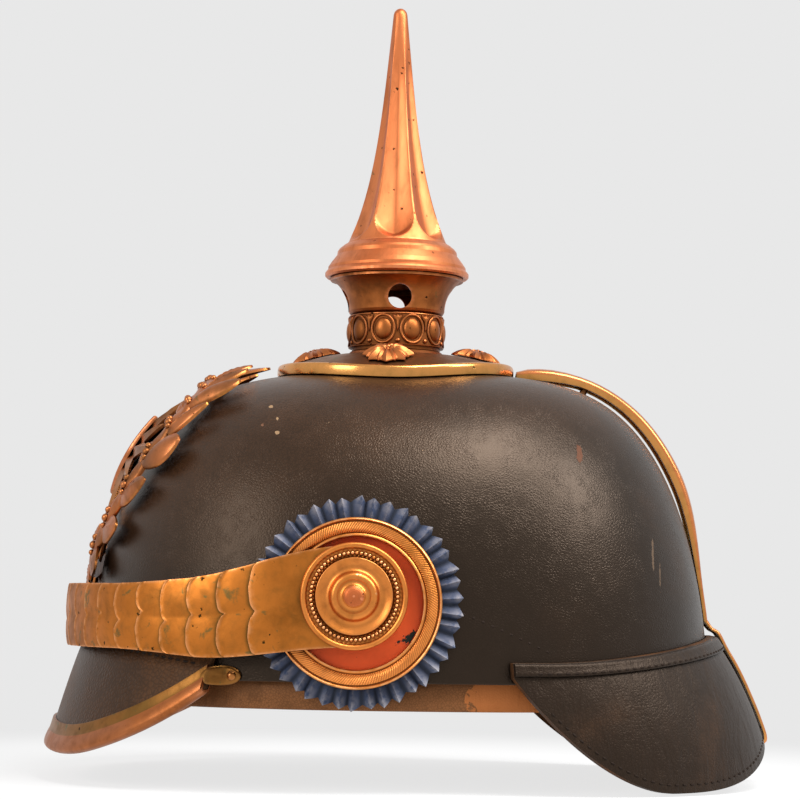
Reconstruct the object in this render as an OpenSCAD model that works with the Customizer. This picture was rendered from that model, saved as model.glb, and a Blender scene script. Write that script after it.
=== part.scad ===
// Officer's spiked leather helmet, modelled piece by piece.
// Frame: +Z up, +X to the wearer's left, -Y to the front. The origin is on the spike's axis,
// in the plane of the leather skull's lower rim. Millimetres.

/* [Skull] */
// Spike axis to the front of the rim
skull_front = 105.4; // [98:0.2:112]
// Spike axis to the back of the rim
skull_rear = 112.2; // [105:0.2:122]
// Half the width of the rim
skull_half_w = 90; // [84:0.5:96]
// Height of the crown above the rim
skull_h = 107.4; // [102:0.2:116]
// Thickness of the skull leather
skull_t = 2.6; // [2:0.1:3.2]
// Radius of the hole in the crown under the neck
crown_hole_r = 13; // [9:0.5:14]

/* [Front visor] */
// Half of the arc that the visor spans, in degrees
visor_half_arc = 54.2; // [50:0.2:58]
// Height of the visor's seam above the rim, at the middle
visor_seam_z = 15; // [13:0.5:17]
// Drop of the visor from its seam to its edge, at the middle
visor_depth = 42; // [34:0.5:48]
// Rise of the visor's edge at the middle
visor_bow = 4.3; // [0:0.1:6]
// How far the visor's edge stands out from the skull wall
visor_flare = 13.6; // [10:0.2:20]
// Thickness of the visor leather
visor_t = 2.4; // [1.8:0.1:3]
// Width of the metal trim on the visor's face
trim_w = 8; // [6:0.2:10]
// Thickness of the trim's sheet metal
trim_t = 0.8; // [0.5:0.05:1]
// Length of the oval lug at each end of the trim
lug_l = 11; // [9:0.2:13]
// Height of the oval lug
lug_h = 6.4; // [5:0.2:8]

/* [Neck guard] */
// Half of the arc that the guard spans, in degrees
guard_half_arc = 66; // [60:0.5:70]
// Height of the guard's seam above the rim at the rear middle
guard_seam_z = 16; // [14:0.5:18]
// Depth of the guard's lowest points below the rim
guard_drop = 35; // [28:0.5:40]
// Rise of the guard's edge at the rear middle
guard_arch = 15; // [8:0.5:18]
// Outward slope of the guard at the rear
guard_slope = 0.64; // [0.45:0.01:0.7]
// Outward slope of the guard at its ends
guard_side_slope = 0.12; // [0.05:0.01:0.25]
// Thickness of the guard leather
guard_t = 2.4; // [1.8:0.1:3]
// Height of the sewn welt over the guard's seam
welt_h = 4.4; // [3:0.2:6]
// Thickness of the welt
welt_t = 1.4; // [1:0.1:2]

/* [Rear spine] */
// Width of the spine
spine_w = 12; // [9:0.5:16]
// Thickness of the spine's sheet
spine_t = 0.9; // [0.6:0.05:1.2]
// Height of the spine's back over the skull on its upper run
spine_h = 5.8; // [4:0.1:7]
// Height of its back over the leather at its lower end
spine_end_h = 2.1; // [1.8:0.1:3]
// Gap under the spine's edges at the middle of its run
spine_lift = 1.6; // [0.6:0.1:2.2]

/* [Base plate] */
// Radius of the base plate over its polished ring
base_r = 42.6; // [38:0.2:46]
// Height of the polished ring
ring_h = 4.2; // [3:0.1:5]
// Width of the polished ring
ring_w = 2.6; // [2:0.1:3.4]
// Thickness of the base plate's sheet
base_t = 1; // [0.7:0.05:1.4]
// Height of the base plate's top above the crown
base_rise = 7.3; // [6:0.1:9]
// Radius of the circle of star studs
stud_circle_r = 29; // [27:0.2:31]
// Radius of a star stud over its points
stud_r = 9.2; // [7:0.1:9.6]
// Height of a star stud
stud_h = 3.6; // [3:0.1:5]
// Number of star studs
stud_count = 4; // [3:1:6]
// Azimuth of the first star stud, in degrees
stud_turn = 85; // [70:1:100]

/* [Neck] */
// Outer radius of the neck at its foot
neck_r = 15.9; // [15:0.1:17]
// Height of the neck from the base plate to its flange
neck_h = 28.2; // [25:0.1:32]
// Outer radius of the neck's top flange
flange_r = 24; // [22:0.1:25]
// Thickness of the neck wall
neck_t = 1.2; // [0.9:0.05:1.5]
// Radius of a vent hole
vent_r = 4.2; // [3:0.1:4.6]
// Number of vent holes
vent_count = 4; // [2:1:6]
// Azimuth of the first vent hole, in degrees
vent_turn = 4; // [0:1:20]
// Number of bosses round the neck
boss_count = 10; // [8:1:12]
// Radius of a boss's pearl
pearl_r = 3.3; // [2.6:0.1:3.5]
// Height of a pearl over the collar
pearl_h = 1.3; // [1:0.1:2.2]

/* [Spike] */
// Height of the fluted shaft
shaft_h = 87; // [60:0.5:110]
// Radius of the shaft's tip
tip_r = 2.3; // [1.6:0.1:3.2]
// Radius of the shaft's foot over its ridges
shaft_foot_r = 17.9; // [16.5:0.1:19]
// Depth of the flutes as a share of the radius
flute_share = 0.24; // [0.1:0.01:0.3]
// Number of flutes
flute_count = 6; // [5:1:8]
// Azimuth of the first ridge, in degrees
ridge_turn = 25; // [0:1:60]
// Height of the moulded foot
foot_h = 12.4; // [11.4:0.2:16]
// Radius of the foot's lower rim
foot_r = 26; // [25:0.1:28]
// Radius of the threaded spigot that carries the spike
spigot_r = 17.4; // [16:0.1:18]
// Length of the spigot above the flange
spigot_h = 8; // [5:0.2:9]

/* [Cockades] */
// Radius of the pleated disc
cockade_r = 34.9; // [30:0.1:38]
// Number of pleats
pleat_count = 42; // [30:2:48]
// Outer radius of the metal ring
cockade_ring_r = 27.7; // [25:0.1:29]
// Inner radius of the metal ring
cockade_hole_r = 21.3; // [19:0.1:23]
// How far a cockade hangs below its post
cockade_sag = 2.2; // [0:0.1:3]

/* [Chin scales] */
// Post's distance forward of the spike axis
post_y = 12; // [6:0.5:18]
// Post's height above the rim
post_z = 28; // [25:0.5:31]
// Radius of the post
post_r = 2.5; // [2:0.1:3]
// Radius of a rosette
rosette_r = 17.3; // [14:0.1:19]
// Height of a rosette
rosette_h = 5.6; // [4.5:0.1:7]
// Gap between the visor's root and the inside of the loop, at the front
loop_gap = 7; // [6:0.1:9]
// Height of the scales at the posts
scale_root_h = 32.6; // [28:0.2:34]
// Height of the scales at the front
scale_front_h = 21.6; // [18:0.2:24]
// Height of the loop's middle above the rim at the front
loop_front_z = 20.6; // [19.5:0.1:23]
// Number of scales on each side
scale_count = 11; // [8:1:14]
// Thickness of a scale's sheet
scale_t = 0.8; // [0.5:0.05:1]
// How far the lobes of a scale reach over the next one
scale_lobe = 3; // [1.6:0.1:4]
// Height of the leather strap behind the scales
strap_h = 14; // [12:0.5:15]
// Thickness of the leather strap
strap_t = 1.5; // [1.1:0.1:1.8]

/* [Buckle] */
// Distance of the buckle's middle past the loop's middle
buckle_x = 12; // [9:0.5:16]
// Length of the buckle's frame along the strap
buckle_w = 13; // [10:0.5:15]
// Radius of the frame's bars
bar_r = 0.8; // [0.7:0.05:1.1]
// Radius of the prong
prong_r = 0.6; // [0.5:0.05:0.8]

/* [Front plate] */
// Height of the wreath plate's foot above the rim
plate_z = 36; // [35:0.5:42]
// Half the width of the wreath, along the skull
wreath_half_w = 43; // [36:0.5:46]
// Half the height of the wreath, along the skull
wreath_half_h = 41; // [36:0.5:43]
// Length of a wreath leaf
leaf_l = 17; // [13:0.2:20]
// Width of a wreath leaf
leaf_w = 8.4; // [6:0.2:10]
// Leaves on each side of the wreath
leaf_count = 8; // [6:1:10]
// Sheet thickness of the front plate's pieces
plate_t = 0.8; // [0.6:0.05:1]
// Gap between the skull and the wreath
plate_off = 2.9; // [2.4:0.1:3.6]
// Radius of the star's long points
star_r = 39; // [34:0.5:41]
// Half the width of the blank shield
shield_half_w = 12; // [9:0.2:14]

/* [Sweatband and lining] */
// Thickness of the sweatband
band_t = 1.6; // [1.2:0.1:2]
// Height of the sweatband above the rim
band_h = 34; // [31:0.5:38]
// Depth of the sweatband's fold below the rim
band_drop = 9; // [6:0.2:11]
// Thickness of the lining cloth
lining_t = 0.8; // [0.6:0.1:1.2]
// Gap between the skull and the lining at the crown
lining_gap = 9; // [8:0.5:14]
// Number of gathers in the lining
gather_count = 12; // [8:1:16]

/* [Hidden] */
$fn = 64;

copper = [0.72, 0.42, 0.25];
brass = [0.78, 0.56, 0.27];
dark_brass = [0.5, 0.34, 0.22];
black_leather = [0.1, 0.08, 0.07];
brown_leather = [0.33, 0.17, 0.09];

// Clearance of pieces that only lie against each other
seat = 0.3;
// Radial clearance of a turning or sliding fit
running = 0.05;
// Radial clearance of a bolt in its hole
bolt_gap = 0.25;
// Segments round the helmet
around = 44;

// Shape of the skull: plan oval and profile exponents, fitted at front, side and rear
oval_n = 2.2;
front_p = 3.65;
front_q = 2.49;
rear_p = 4.7;
rear_q = 1.72;
side_p = 3.2;
side_q = 2.3;

function mix(u, v, k) = u + (v - u) * k;
function ease(k) = let (c = min(max(k, 0), 1)) c * c * (3 - 2 * c);
function unit(v) = v / norm(v);
function polar(a, r, z) = [r * cos(a), r * sin(a), z];
function flip_x(p) = [-p.x, p.y, p.z];
function sum(v, i = 0) = i == len(v) ? 0 : v[i] + sum(v, i + 1);

// Rim radius at azimuth a, with the skull grown by g
function oval_r(a, g = 0) =
    let (length = sin(a) < 0 ? skull_front : skull_rear)
    pow(pow(abs(cos(a)) / (skull_half_w + g), oval_n) + pow(abs(sin(a)) / (length + g), oval_n),
        -1 / oval_n);
function wall_p(a) = mix(side_p, sin(a) < 0 ? front_p : rear_p, pow(sin(a), 2));
function wall_q(a) = mix(side_q, sin(a) < 0 ? front_q : rear_q, pow(sin(a), 2));
// Radius of the wall at azimuth a and height z; below the rim it runs straight down
function wall_r(a, z, g = 0) =
    oval_r(a, g) * pow(1 - pow(max(z, 0) / (skull_h + g), wall_q(a)), 1 / wall_p(a));
// Height of the crown at azimuth a and radius r
function crown_z(a, r, g = 0) =
    (skull_h + g) * pow(1 - pow(r / oval_r(a, g), wall_p(a)), 1 / wall_q(a));
// Point of the skull at azimuth a and profile angle t, from 0 at the rim to 90 at the top
function skull_pt(a, t, g = 0) =
    polar(a, oval_r(a, g) * pow(cos(t), 2 / wall_p(a)), (skull_h + g) * pow(sin(t), 2 / wall_q(a)));
function wall_pt(a, z, g = 0) = polar(a, wall_r(a, z, g), z);
// Direction out of the wall, square to it
function wall_out(a, z) =
    unit(cross(wall_pt(a + 0.5, z) - wall_pt(a - 0.5, z), wall_pt(a, z + 1) - wall_pt(a, z)));

// Six times the volume inside a list of triangles, negative when they face inwards
function volume6(points, faces) =
    sum([for (f = faces) cross(points[f[0]], points[f[1]]) * points[f[2]]]);

// Closed solid from triangles that may all face in or all face out
module shell(points, faces) {
    outward = volume6(points, faces) < 0;
    polyhedron(points, outward ? faces : [for (f = faces) [f[0], f[2], f[1]]]);
}

// Sheet between an outer and an inner grid of points; rows close on themselves if closed
module sheet(outer, inner, closed = false) {
    n = len(outer);
    k = len(outer[0]);
    m = 2 * k;
    points = [for (i = [0 : n - 1]) each concat(outer[i], [for (j = [k - 1 : -1 : 0]) inner[i][j]])];
    spans = closed ? n : n - 1;
    sides = [for (i = [0 : spans - 1], j = [0 : m - 1])
        let (a = i * m + j, b = i * m + (j + 1) % m, c = ((i + 1) % n) * m + (j + 1) % m,
            d = ((i + 1) % n) * m + j)
        each [[a, b, c], [a, c, d]]];
    ends = closed ? [] : [for (j = [0 : k - 2])
        let (a = j, b = j + 1, c = m - 2 - j, d = m - 1 - j, e = (n - 1) * m)
        each [[a, c, b], [a, d, c], [e + a, e + b, e + c], [e + a, e + c, e + d]]];
    shell(points, concat(sides, ends));
}

// Skin over closed rings of points, drawn shut to a pole at each end
module domed(rings, first, last) {
    n = len(rings[0]);
    count = len(rings);
    points = concat([for (ring = rings) each ring], [first, last]);
    sides = [for (i = [0 : count - 2], j = [0 : n - 1])
        let (a = i * n + j, b = i * n + (j + 1) % n)
        each [[a, b, b + n], [a, b + n, a + n]]];
    top = [for (j = [0 : n - 1]) [count * n, (j + 1) % n, j]];
    bottom = [for (j = [0 : n - 1])
        [count * n + 1, (count - 1) * n + j, (count - 1) * n + (j + 1) % n]];
    shell(points, concat(sides, top, bottom));
}

// Turns a child from +Z to the direction d and moves it to p
module aim(p, d) {
    translate(p)
        rotate([0, acos(d.z / norm(d)), atan2(d.y, d.x)])
            children();
}

// A hexagonal nut with a round washer at the top of its height
nut_h = 2.2;
washer_t = 0.8;
module nut(bolt_r) {
    difference() {
        union() {
            cylinder(h = nut_h - washer_t / 2, r = bolt_r * 1.9, $fn = 6);
            translate([0, 0, nut_h - washer_t])
                cylinder(h = washer_t, r = bolt_r * 2.3);
        }
        translate([0, 0, -1])
            cylinder(h = nut_h + 2, r = bolt_r + running);
    }
}

// Skull
module skull() {
    rows = 10;
    function rim_to_hole(a, g) = let (end = acos(pow(crown_hole_r / oval_r(a, g), wall_p(a) / 2)))
        [for (k = [0 : rows]) skull_pt(a, end * (1 - pow(1 - k / rows, 1.5)), g)];
    azimuths = [for (i = [0 : around - 1]) 360 * i / around];
    color(black_leather)
        difference() {
            sheet([for (a = azimuths) rim_to_hole(a, 0)],
                [for (a = azimuths) rim_to_hole(a, -skull_t)], closed = true);
            stud_places()
                cylinder(h = 60, r = stem_r + bolt_gap, center = true);
            post_axis(skull_half_w - 30, skull_half_w + 10, post_r + bolt_gap);
            mirror([1, 0, 0])
                post_axis(skull_half_w - 30, skull_half_w + 10, post_r + bolt_gap);
            plate_post_places()
                translate([0, 0, -10])
                    cylinder(h = 20, r = plate_post_r + bolt_gap);
            for (k = spine_post_ks)
                spine_post_place(k)
                    translate([0, 0, -10])
                        cylinder(h = 20, r = spine_post_r + bolt_gap);
            rivet_places()
                translate([0, 0, -10])
                    cylinder(h = 20, r = rivet_r + bolt_gap);
        }
}

// Front visor: u runs from -1 to 1 across the visor, z is a height on it
function visor_azimuth(u) = -90 + visor_half_arc * u;
function visor_top(u) = mix(visor_seam_z, visor_seam_z * 0.5, u * u);
function visor_edge(u) = let (k = 0.83 * pow(abs(u), 3.2))
    visor_seam_z - visor_depth * (1 - k) - 12.5 * k + visor_bow * pow(max(0, 1 - u * u / 0.34), 2);
function visor_g(u, z) =
    seat + visor_flare * pow(max(visor_top(u) - z, 0) / visor_depth, 0.87);
function visor_pt(u, z, g) = wall_pt(visor_azimuth(u), z, visor_g(u, z) + g);
visor_spans = 24;
visor_us = [for (i = [0 : visor_spans]) -1 + 2 * i / visor_spans];

module front_visor() {
    rows = 4;
    function strip(u, g) = [for (k = [0 : rows])
        let (z = mix(visor_top(u), visor_edge(u), k / rows)) visor_pt(u, z, g)];
    color(black_leather)
        sheet([for (u = visor_us) strip(u, visor_t)], [for (u = visor_us) strip(u, 0)]);
}

// The trim wraps the visor's edge: points are [out of the face, down from the edge]
trim_gap = 0.15;
trim_bead = 1.5;
module visor_trim() {
    back = visor_t + 2 * trim_gap;
    outer_line = [[trim_t, -trim_w], [trim_t, -trim_w * 0.55], [trim_t + 0.6, -trim_w * 0.2],
        [trim_t + 0.4, trim_bead * 0.6], [-back / 2, trim_t + trim_bead * 0.8],
        [-back - trim_t, trim_t * 0.8], [-back - trim_t, -trim_w * 0.45]];
    inner_line = [[0, -trim_w], [0, -trim_w * 0.45], [0.1, -trim_w * 0.2], [0.1, trim_gap],
        [-back / 2, trim_gap + 0.3], [-back, trim_gap], [-back, -trim_w * 0.45]];
    function row(u, line) =
        let (z = visor_edge(u), along = unit(visor_pt(u, z - 1, 0) - visor_pt(u, z + 1, 0)))
        [for (q = line)
            visor_pt(u, z - min(q[1], 0), visor_t + trim_gap + q[0]) + along * max(q[1], 0)];
    color(brass)
        difference() {
            union() {
                sheet([for (u = visor_us) row(u, outer_line)], [for (u = visor_us) row(u, inner_line)]);
                for (side = [-1, 1])
                    lug(side);
            }
            rivet_places()
                translate([0, 0, -10])
                    cylinder(h = 20, r = rivet_r + running);
        }
}

// Oval lug that runs on from each end of the trim and steps down to the skull, riveted there
lug_azimuth = visor_half_arc + 2;
lug_per_mm = 180 / PI / oval_r(-90 + lug_azimuth);
lug_z = 1.8;
lug_t = 1.1;
rivet_azimuth = lug_azimuth + lug_l * 0.25 * lug_per_mm;
rivet_r = 0.8;
rivet_head_t = 0.4;
// Point of the lug's seat at a degrees from the front
function lug_pt(side, a, z, g) =
    let (on_visor = visor_g(min(a / visor_half_arc, 1), z) + visor_t + trim_gap)
    wall_pt(-90 + side * a, z, mix(on_visor, seat, ease((a - visor_half_arc - 0.3) / 2.2)) + g);

module lug(side) {
    along = [for (i = [0 : 8]) -cos(22.5 * i)];
    function spot(s, v, g) = lug_pt(side, lug_azimuth + s * lug_l / 2 * lug_per_mm,
        lug_z + v * lug_h / 2 * max(sqrt(1 - s * s), 0.12), g);
    across = [-1, -0.7, 0, 0.7, 1];
    sheet([for (s = along) [for (v = across) spot(s, v, lug_t * (abs(v) == 1 ? 0.5 : 1))]],
        [for (s = along) [for (v = across) spot(s, v, 0)]]);
}

module rivet_places() {
    for (side = [-1, 1])
        aim(lug_pt(side, rivet_azimuth, lug_z, lug_t), wall_out(-90 + side * rivet_azimuth, lug_z))
            children();
}

// The same places, but square to the face of the lug
module rivet_head_places() {
    for (side = [-1, 1])
        let (p = lug_pt(side, rivet_azimuth, lug_z, lug_t),
            along = lug_pt(side, rivet_azimuth + 1, lug_z, lug_t) - p,
            up = lug_pt(side, rivet_azimuth, lug_z + 1, lug_t) - p)
            aim(p, side * cross(along, up))
                children();
}

module trim_rivets() {
    out = wall_out(-90 + rivet_azimuth, lug_z);
    through = (lug_pt(1, rivet_azimuth, lug_z, lug_t)
        - wall_pt(-90 + rivet_azimuth, lug_z, -skull_t)) * out;
    length = through + 2 * seat + rivet_head_t;
    color(brass) {
        rivet_head_places()
            translate([0, 0, 0.2])
                intersection() {
                    translate([0, 0, -0.6])
                        sphere(r = 1.7);
                    cylinder(h = 2, r = 2);
                }
        rivet_places()
            translate([0, 0, -length]) {
                cylinder(h = length + 0.6, r = rivet_r);
                cylinder(h = rivet_head_t, r = rivet_r * 2);
            }
    }
}

// Neck guard: v runs from -1 to 1 round the rear
function guard_azimuth(v) = 90 - guard_half_arc * v;
function guard_top(v) = mix(guard_seam_z, guard_seam_z * 0.45, ease(abs(v) * 1.1));
function guard_edge(v) = let (w = abs(v), corner = 0.58)
    w < corner ? -guard_drop + guard_arch * pow(cos(w / corner * 90), 3)
        : mix(-guard_drop, guard_top(1) - 5, pow((w - corner) / (1 - corner), 1.7));
function guard_g(v, z) = let (a = guard_azimuth(v), drop = guard_top(v) - z)
    seat + drop * mix(guard_side_slope, guard_slope, pow(sin(a), 2)) - 0.0045 * drop * drop;
function guard_pt(v, z, g) = wall_pt(guard_azimuth(v), z, guard_g(v, z) + g);
guard_spans = 26;
guard_vs = [for (i = [0 : guard_spans]) -1 + 2 * i / guard_spans];

module neck_guard() {
    rows = 5;
    function strip(v, g) = [for (k = [0 : rows])
        let (z = mix(guard_top(v), guard_edge(v), k / rows)) guard_pt(v, z, g)];
    color(black_leather)
        sheet([for (v = guard_vs) strip(v, guard_t)], [for (v = guard_vs) strip(v, 0)]);
}

module guard_welt() {
    function face(v, down, g) = guard_pt(v, guard_top(v) - down, guard_t + seat / 2 + g);
    outer_line = [[0.2, 0.5], [0.9, 1], [welt_h - 1, 1], [welt_h, 0.35]];
    color(black_leather)
        sheet([for (v = guard_vs) [for (q = outer_line) face(v, q[0], q[1] * welt_t)]],
            [for (v = guard_vs) [for (q = outer_line) face(v, q[0], 0)]]);
}

// Rear spine: a channel with upright edges and a rounded back, on the mid-plane. k runs from 0
// at the base plate to 1 at the guard's welt
spine_top_r = base_r + 0.6;
spine_post_r = 1.3;
spine_turn = acos(pow(spine_top_r / oval_r(90), rear_p / 2));
spine_seam_z = guard_seam_z + 5;
spine_seam_turn = asin(pow(spine_seam_z / skull_h, rear_q / 2));
function spine_t_at(k) = mix(spine_turn, spine_seam_turn, pow(k, 0.85));
function spine_gap(k) = seat + spine_lift * ease(k / 0.12) * (1 - ease((k - 0.55) / 0.33));
// Height of the back over the leather
function spine_back(k) =
    mix(spine_h, spine_end_h, ease((k - 0.5) / 0.42)) + 0.7 * pow(sin(180 * k), 2);
function sheet_t(high) = min(spine_t, 0.5 * high);
spine_runs = 13;
spine_skull_run = [for (i = [0 : spine_runs])
    let (k = i / spine_runs) skull_pt(90, spine_t_at(k), spine_gap(k))];
guard_end_z = guard_edge(0);
welt_clear = guard_t + welt_t + 2 * seat;
spine_step = [wall_pt(90, guard_seam_z + 2, 2.4), wall_pt(90, guard_seam_z + 0.7, welt_clear),
    guard_pt(0, guard_seam_z - 1.2, welt_clear)];
spine_guard_run = [for (i = [0 : 5])
    let (k = i / 5, z = mix(guard_seam_z - welt_h - 0.6, guard_end_z + 3, k))
    guard_pt(0, z, guard_t + mix(welt_t * 0.7 + seat, 0.8, min(1, k * 2)))];
spine_tail = [
    guard_pt(0, guard_end_z + 0.6, guard_t + 0.7),
    guard_pt(0, guard_end_z - 0.9, guard_t + 0.1),
    guard_pt(0, guard_end_z - 1.2, -0.6),
    guard_pt(0, guard_end_z + 2.4, -1.2)];
spine_line = concat(spine_skull_run, spine_step, spine_guard_run, spine_tail);

module rear_spine() {
    last = len(spine_line) - 1;
    function out(i) = let (d = unit(spine_line[min(i + 1, last)] - spine_line[max(i - 1, 0)]))
        [0, -d.z, d.y];
    function half(i) = spine_w / 2 * (i == 0 ? 0.8 : i > last - 4 ? 0.7 : 1);
    function high(i) = i == 0 ? 0.55 * (spine_h - seat)
        : i <= spine_runs ? spine_back(i / spine_runs) - spine_gap(i / spine_runs)
        : spine_end_h - 2 * seat;
    outer_line = [[1, 0], [1, 0.55], [0.86, 0.8], [0.48, 0.95], [0, 1]];
    // A point of the section at share q across it, with its inside set in by the sheet
    function spot(i, q, side, inset) = spine_line[i]
        + [side * (q[0] * half(i) - min(q[0], 0.3) / 0.3 * inset), 0, 0]
        + out(i) * (q[1] * high(i) - min(q[1], 0.8) / 0.8 * inset * sheet_t(high(i)) / spine_t);
    function row(i, inset) = concat([for (q = outer_line) spot(i, q, -1, inset)],
        [for (j = [3 : -1 : 0]) spot(i, outer_line[j], 1, inset)]);
    color(brass)
        sheet([for (i = [0 : last]) row(i, 0)], [for (i = [0 : last]) row(i, spine_t)]);
}

spine_post_ks = [0.12, 0.86];
module spine_post_place(k) {
    t = spine_t_at(k);
    along = skull_pt(90, t + 0.5) - skull_pt(90, t - 0.5);
    aim(skull_pt(90, t), [0, along.z, -along.y])
        children();
}

module spine_posts() {
    inside = skull_t * 1.2 + nut_h + 1.1;
    color(brass)
        for (k = spine_post_ks)
            let (high = spine_back(k) - sheet_t(spine_back(k) - spine_gap(k)) - 1.5 * seat)
                spine_post_place(k)
                    translate([0, 0, -inside])
                        cylinder(h = inside + high, r = spine_post_r);
}

module spine_nuts() {
    color(dark_brass)
        for (k = spine_post_ks)
            spine_post_place(k)
                translate([0, 0, -skull_t * 1.2 - nut_h - 0.6])
                    nut(spine_post_r);
}

// Base plate: a shallow dome whose polished ring follows the crown
base_top_z = skull_h + base_rise;
ring_in_r = base_r - ring_w;
function ring_foot(a) = crown_z(a, base_r - base_t) + seat;
function dome_z(a, r) = let (edge = ring_foot(a) + ring_h - 0.9)
    mix(edge, base_top_z, sin(90 * min(1, max(0, (ring_in_r - r) / (ring_in_r - neck_r - 1.4)))));

module base_plate() {
    columns = 36;
    dome_rs = [crown_hole_r, neck_r + 1.4, mix(neck_r, ring_in_r, 0.52), ring_in_r];
    ring_line = [[0.45, 1], [0.8, 0.96], [1, 0.55], [0.96, 0]];
    function top(a) = concat([for (r = dome_rs) polar(a, r, dome_z(a, r))],
        [for (q = ring_line) polar(a, ring_in_r + ring_w * q[0], ring_foot(a) + ring_h * q[1])]);
    function under(a) = concat([for (r = dome_rs) polar(a, r, dome_z(a, r) - base_t)],
        [for (q = ring_line)
            polar(a, ring_in_r + (ring_w - base_t) * q[0], ring_foot(a) + max(0, ring_h * q[1] - base_t))]);
    azimuths = [for (i = [0 : columns - 1]) 360 * i / columns];
    color(dark_brass)
        difference() {
            sheet([for (a = azimuths) top(a)], [for (a = azimuths) under(a)], closed = true);
            stud_places()
                cylinder(h = 8, r = stem_r + bolt_gap, center = true);
        }
}

// Star studs that hold the base plate
stem_r = 1.7;
module stud_places() {
    for (i = [0 : stud_count - 1])
        let (a = stud_turn + 360 * i / stud_count,
            rise = dome_z(a, stud_circle_r - 2) - dome_z(a, stud_circle_r + 2))
            translate(polar(a, stud_circle_r, dome_z(a, stud_circle_r) + seat))
                rotate([0, atan(rise / 4), a])
                    children();
}

module star_studs() {
    ribs = 8;
    outline = [for (i = [0 : 2 * ribs - 1])
        let (r = i % 2 == 0 ? stud_r : stud_r * 0.78, a = 180 * i / ribs) [r * cos(a), r * sin(a)]];
    stem_l = base_rise + skull_t + nut_h + 4;
    color(copper)
        stud_places() {
            linear_extrude(height = stud_h * 0.5, scale = 0.72)
                polygon(outline);
            translate([0, 0, stud_h * 0.5])
                scale(0.72)
                    linear_extrude(height = stud_h * 0.5 / 0.72, scale = 0.2)
                        polygon(outline);
            translate([0, 0, -stem_l])
                cylinder(h = stem_l + 1, r = stem_r);
        }
}

module stud_nuts() {
    color(dark_brass)
        for (i = [0 : stud_count - 1])
            let (a = stud_turn + 360 * i / stud_count,
                rise = dome_z(a, stud_circle_r - 2) - dome_z(a, stud_circle_r + 2),
                down = dome_z(a, stud_circle_r) + seat - crown_z(a, stud_circle_r + stem_r * 2.3, -skull_t))
                translate(polar(a, stud_circle_r, dome_z(a, stud_circle_r) + seat))
                    rotate([0, atan(rise / 4), a])
                        translate([0, 0, -down - nut_h - 1.3])
                            nut(stem_r);
}

// Neck: a flared tube with vent holes, a flange and the spigot that the spike screws on
flange_z = base_top_z + neck_h;
vent_z = base_top_z + neck_h * 0.71;
// Straight behind the pearl ring, then a cove and a flare up to the flange
collar_h = 11.6;
collar_up = 2.8;
collar_k = (collar_up + collar_h) / neck_h;
function neck_profile(k) = let (flare = max(0, (k - collar_k) / (1 - collar_k)))
    neck_r + 1.25 * ease((k - collar_k - 0.02) / 0.05) + 3.4 * pow(flare, 1.6)
    + (flange_r - neck_r - 5.9) * pow(k, 12);
module neck() {
    spans = 32;
    ks = [for (i = [0 : spans]) i / spans];
    foot_t = 1.2;
    inner_r = spigot_r - neck_t;
    outer = [for (k = ks) [neck_profile(k), base_top_z + k * (neck_h - 1)]];
    inner = [for (k = [1 : -1 / spans : 0])
        [min(neck_profile(k) - neck_t, inner_r + 3), base_top_z + k * (neck_h - 1.4)]];
    color(copper)
        difference() {
            rotate_extrude($fn = 96)
                polygon(concat(
                    [[crown_hole_r + 1, base_top_z], [neck_r + 0.8, base_top_z],
                        [neck_r + 0.8, base_top_z + foot_t]],
                    [for (q = outer) if (q.y > base_top_z + foot_t) q],
                    [[flange_r, flange_z - 0.9], [flange_r, flange_z], [spigot_r, flange_z],
                        [spigot_r, flange_z + spigot_h], [inner_r, flange_z + spigot_h],
                        [inner_r, flange_z - 1.6]],
                    [for (q = inner) if (q.y > base_top_z + 2 && q.y < flange_z - 2.2) q],
                    [[neck_r - neck_t, base_top_z + foot_t], [crown_hole_r + 1, base_top_z + foot_t]]));
            for (i = [0 : vent_count - 1])
                rotate([0, 0, vent_turn + 360 * i / vent_count])
                    translate([0, 0, vent_z])
                        rotate([0, 90, 0])
                            cylinder(h = flange_r + 5, r = vent_r);
        }
}

// Pearl ring: a collar with pearls, each inside a round bead
collar_z = base_top_z + collar_up;
collar_t = 0.8;
collar_in = neck_r + 0.12;
bead_r = 0.55;
pearl_first = -16;
module pearl_ring() {
    out = collar_in + collar_t;
    pitch = 360 / boss_count;
    middle = collar_z + collar_h / 2;
    color(copper) {
        rotate_extrude($fn = 96)
            polygon([[collar_in, collar_z], [out + 0.4, collar_z], [out + 0.4, collar_z + 0.35],
                [out, collar_z + 0.6], [out, collar_z + collar_h - 0.55],
                [out + 0.25, collar_z + collar_h - 0.35], [out + 0.25, collar_z + collar_h],
                [collar_in, collar_z + collar_h]]);
        for (i = [0 : boss_count - 1])
            rotate([0, 0, pearl_first + i * pitch]) {
                translate([out - 0.5, 0, middle])
                    rotate([0, 90, 0])
                        pearl();
                translate([out - 0.2, 0, middle])
                    rotate([0, 90, 0])
                        rotate_extrude($fn = 48)
                            translate([pearl_r + 0.9, 0])
                                circle(r = bead_r, $fn = 24);
            }
    }
}

module pearl() {
    rotate_extrude($fn = 32)
        polygon(concat([[0, 0], [pearl_r, 0]],
            [for (t = [0 : 15 : 90]) [pearl_r * cos(t), 0.35 + pearl_h * sin(t)]]));
}

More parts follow.
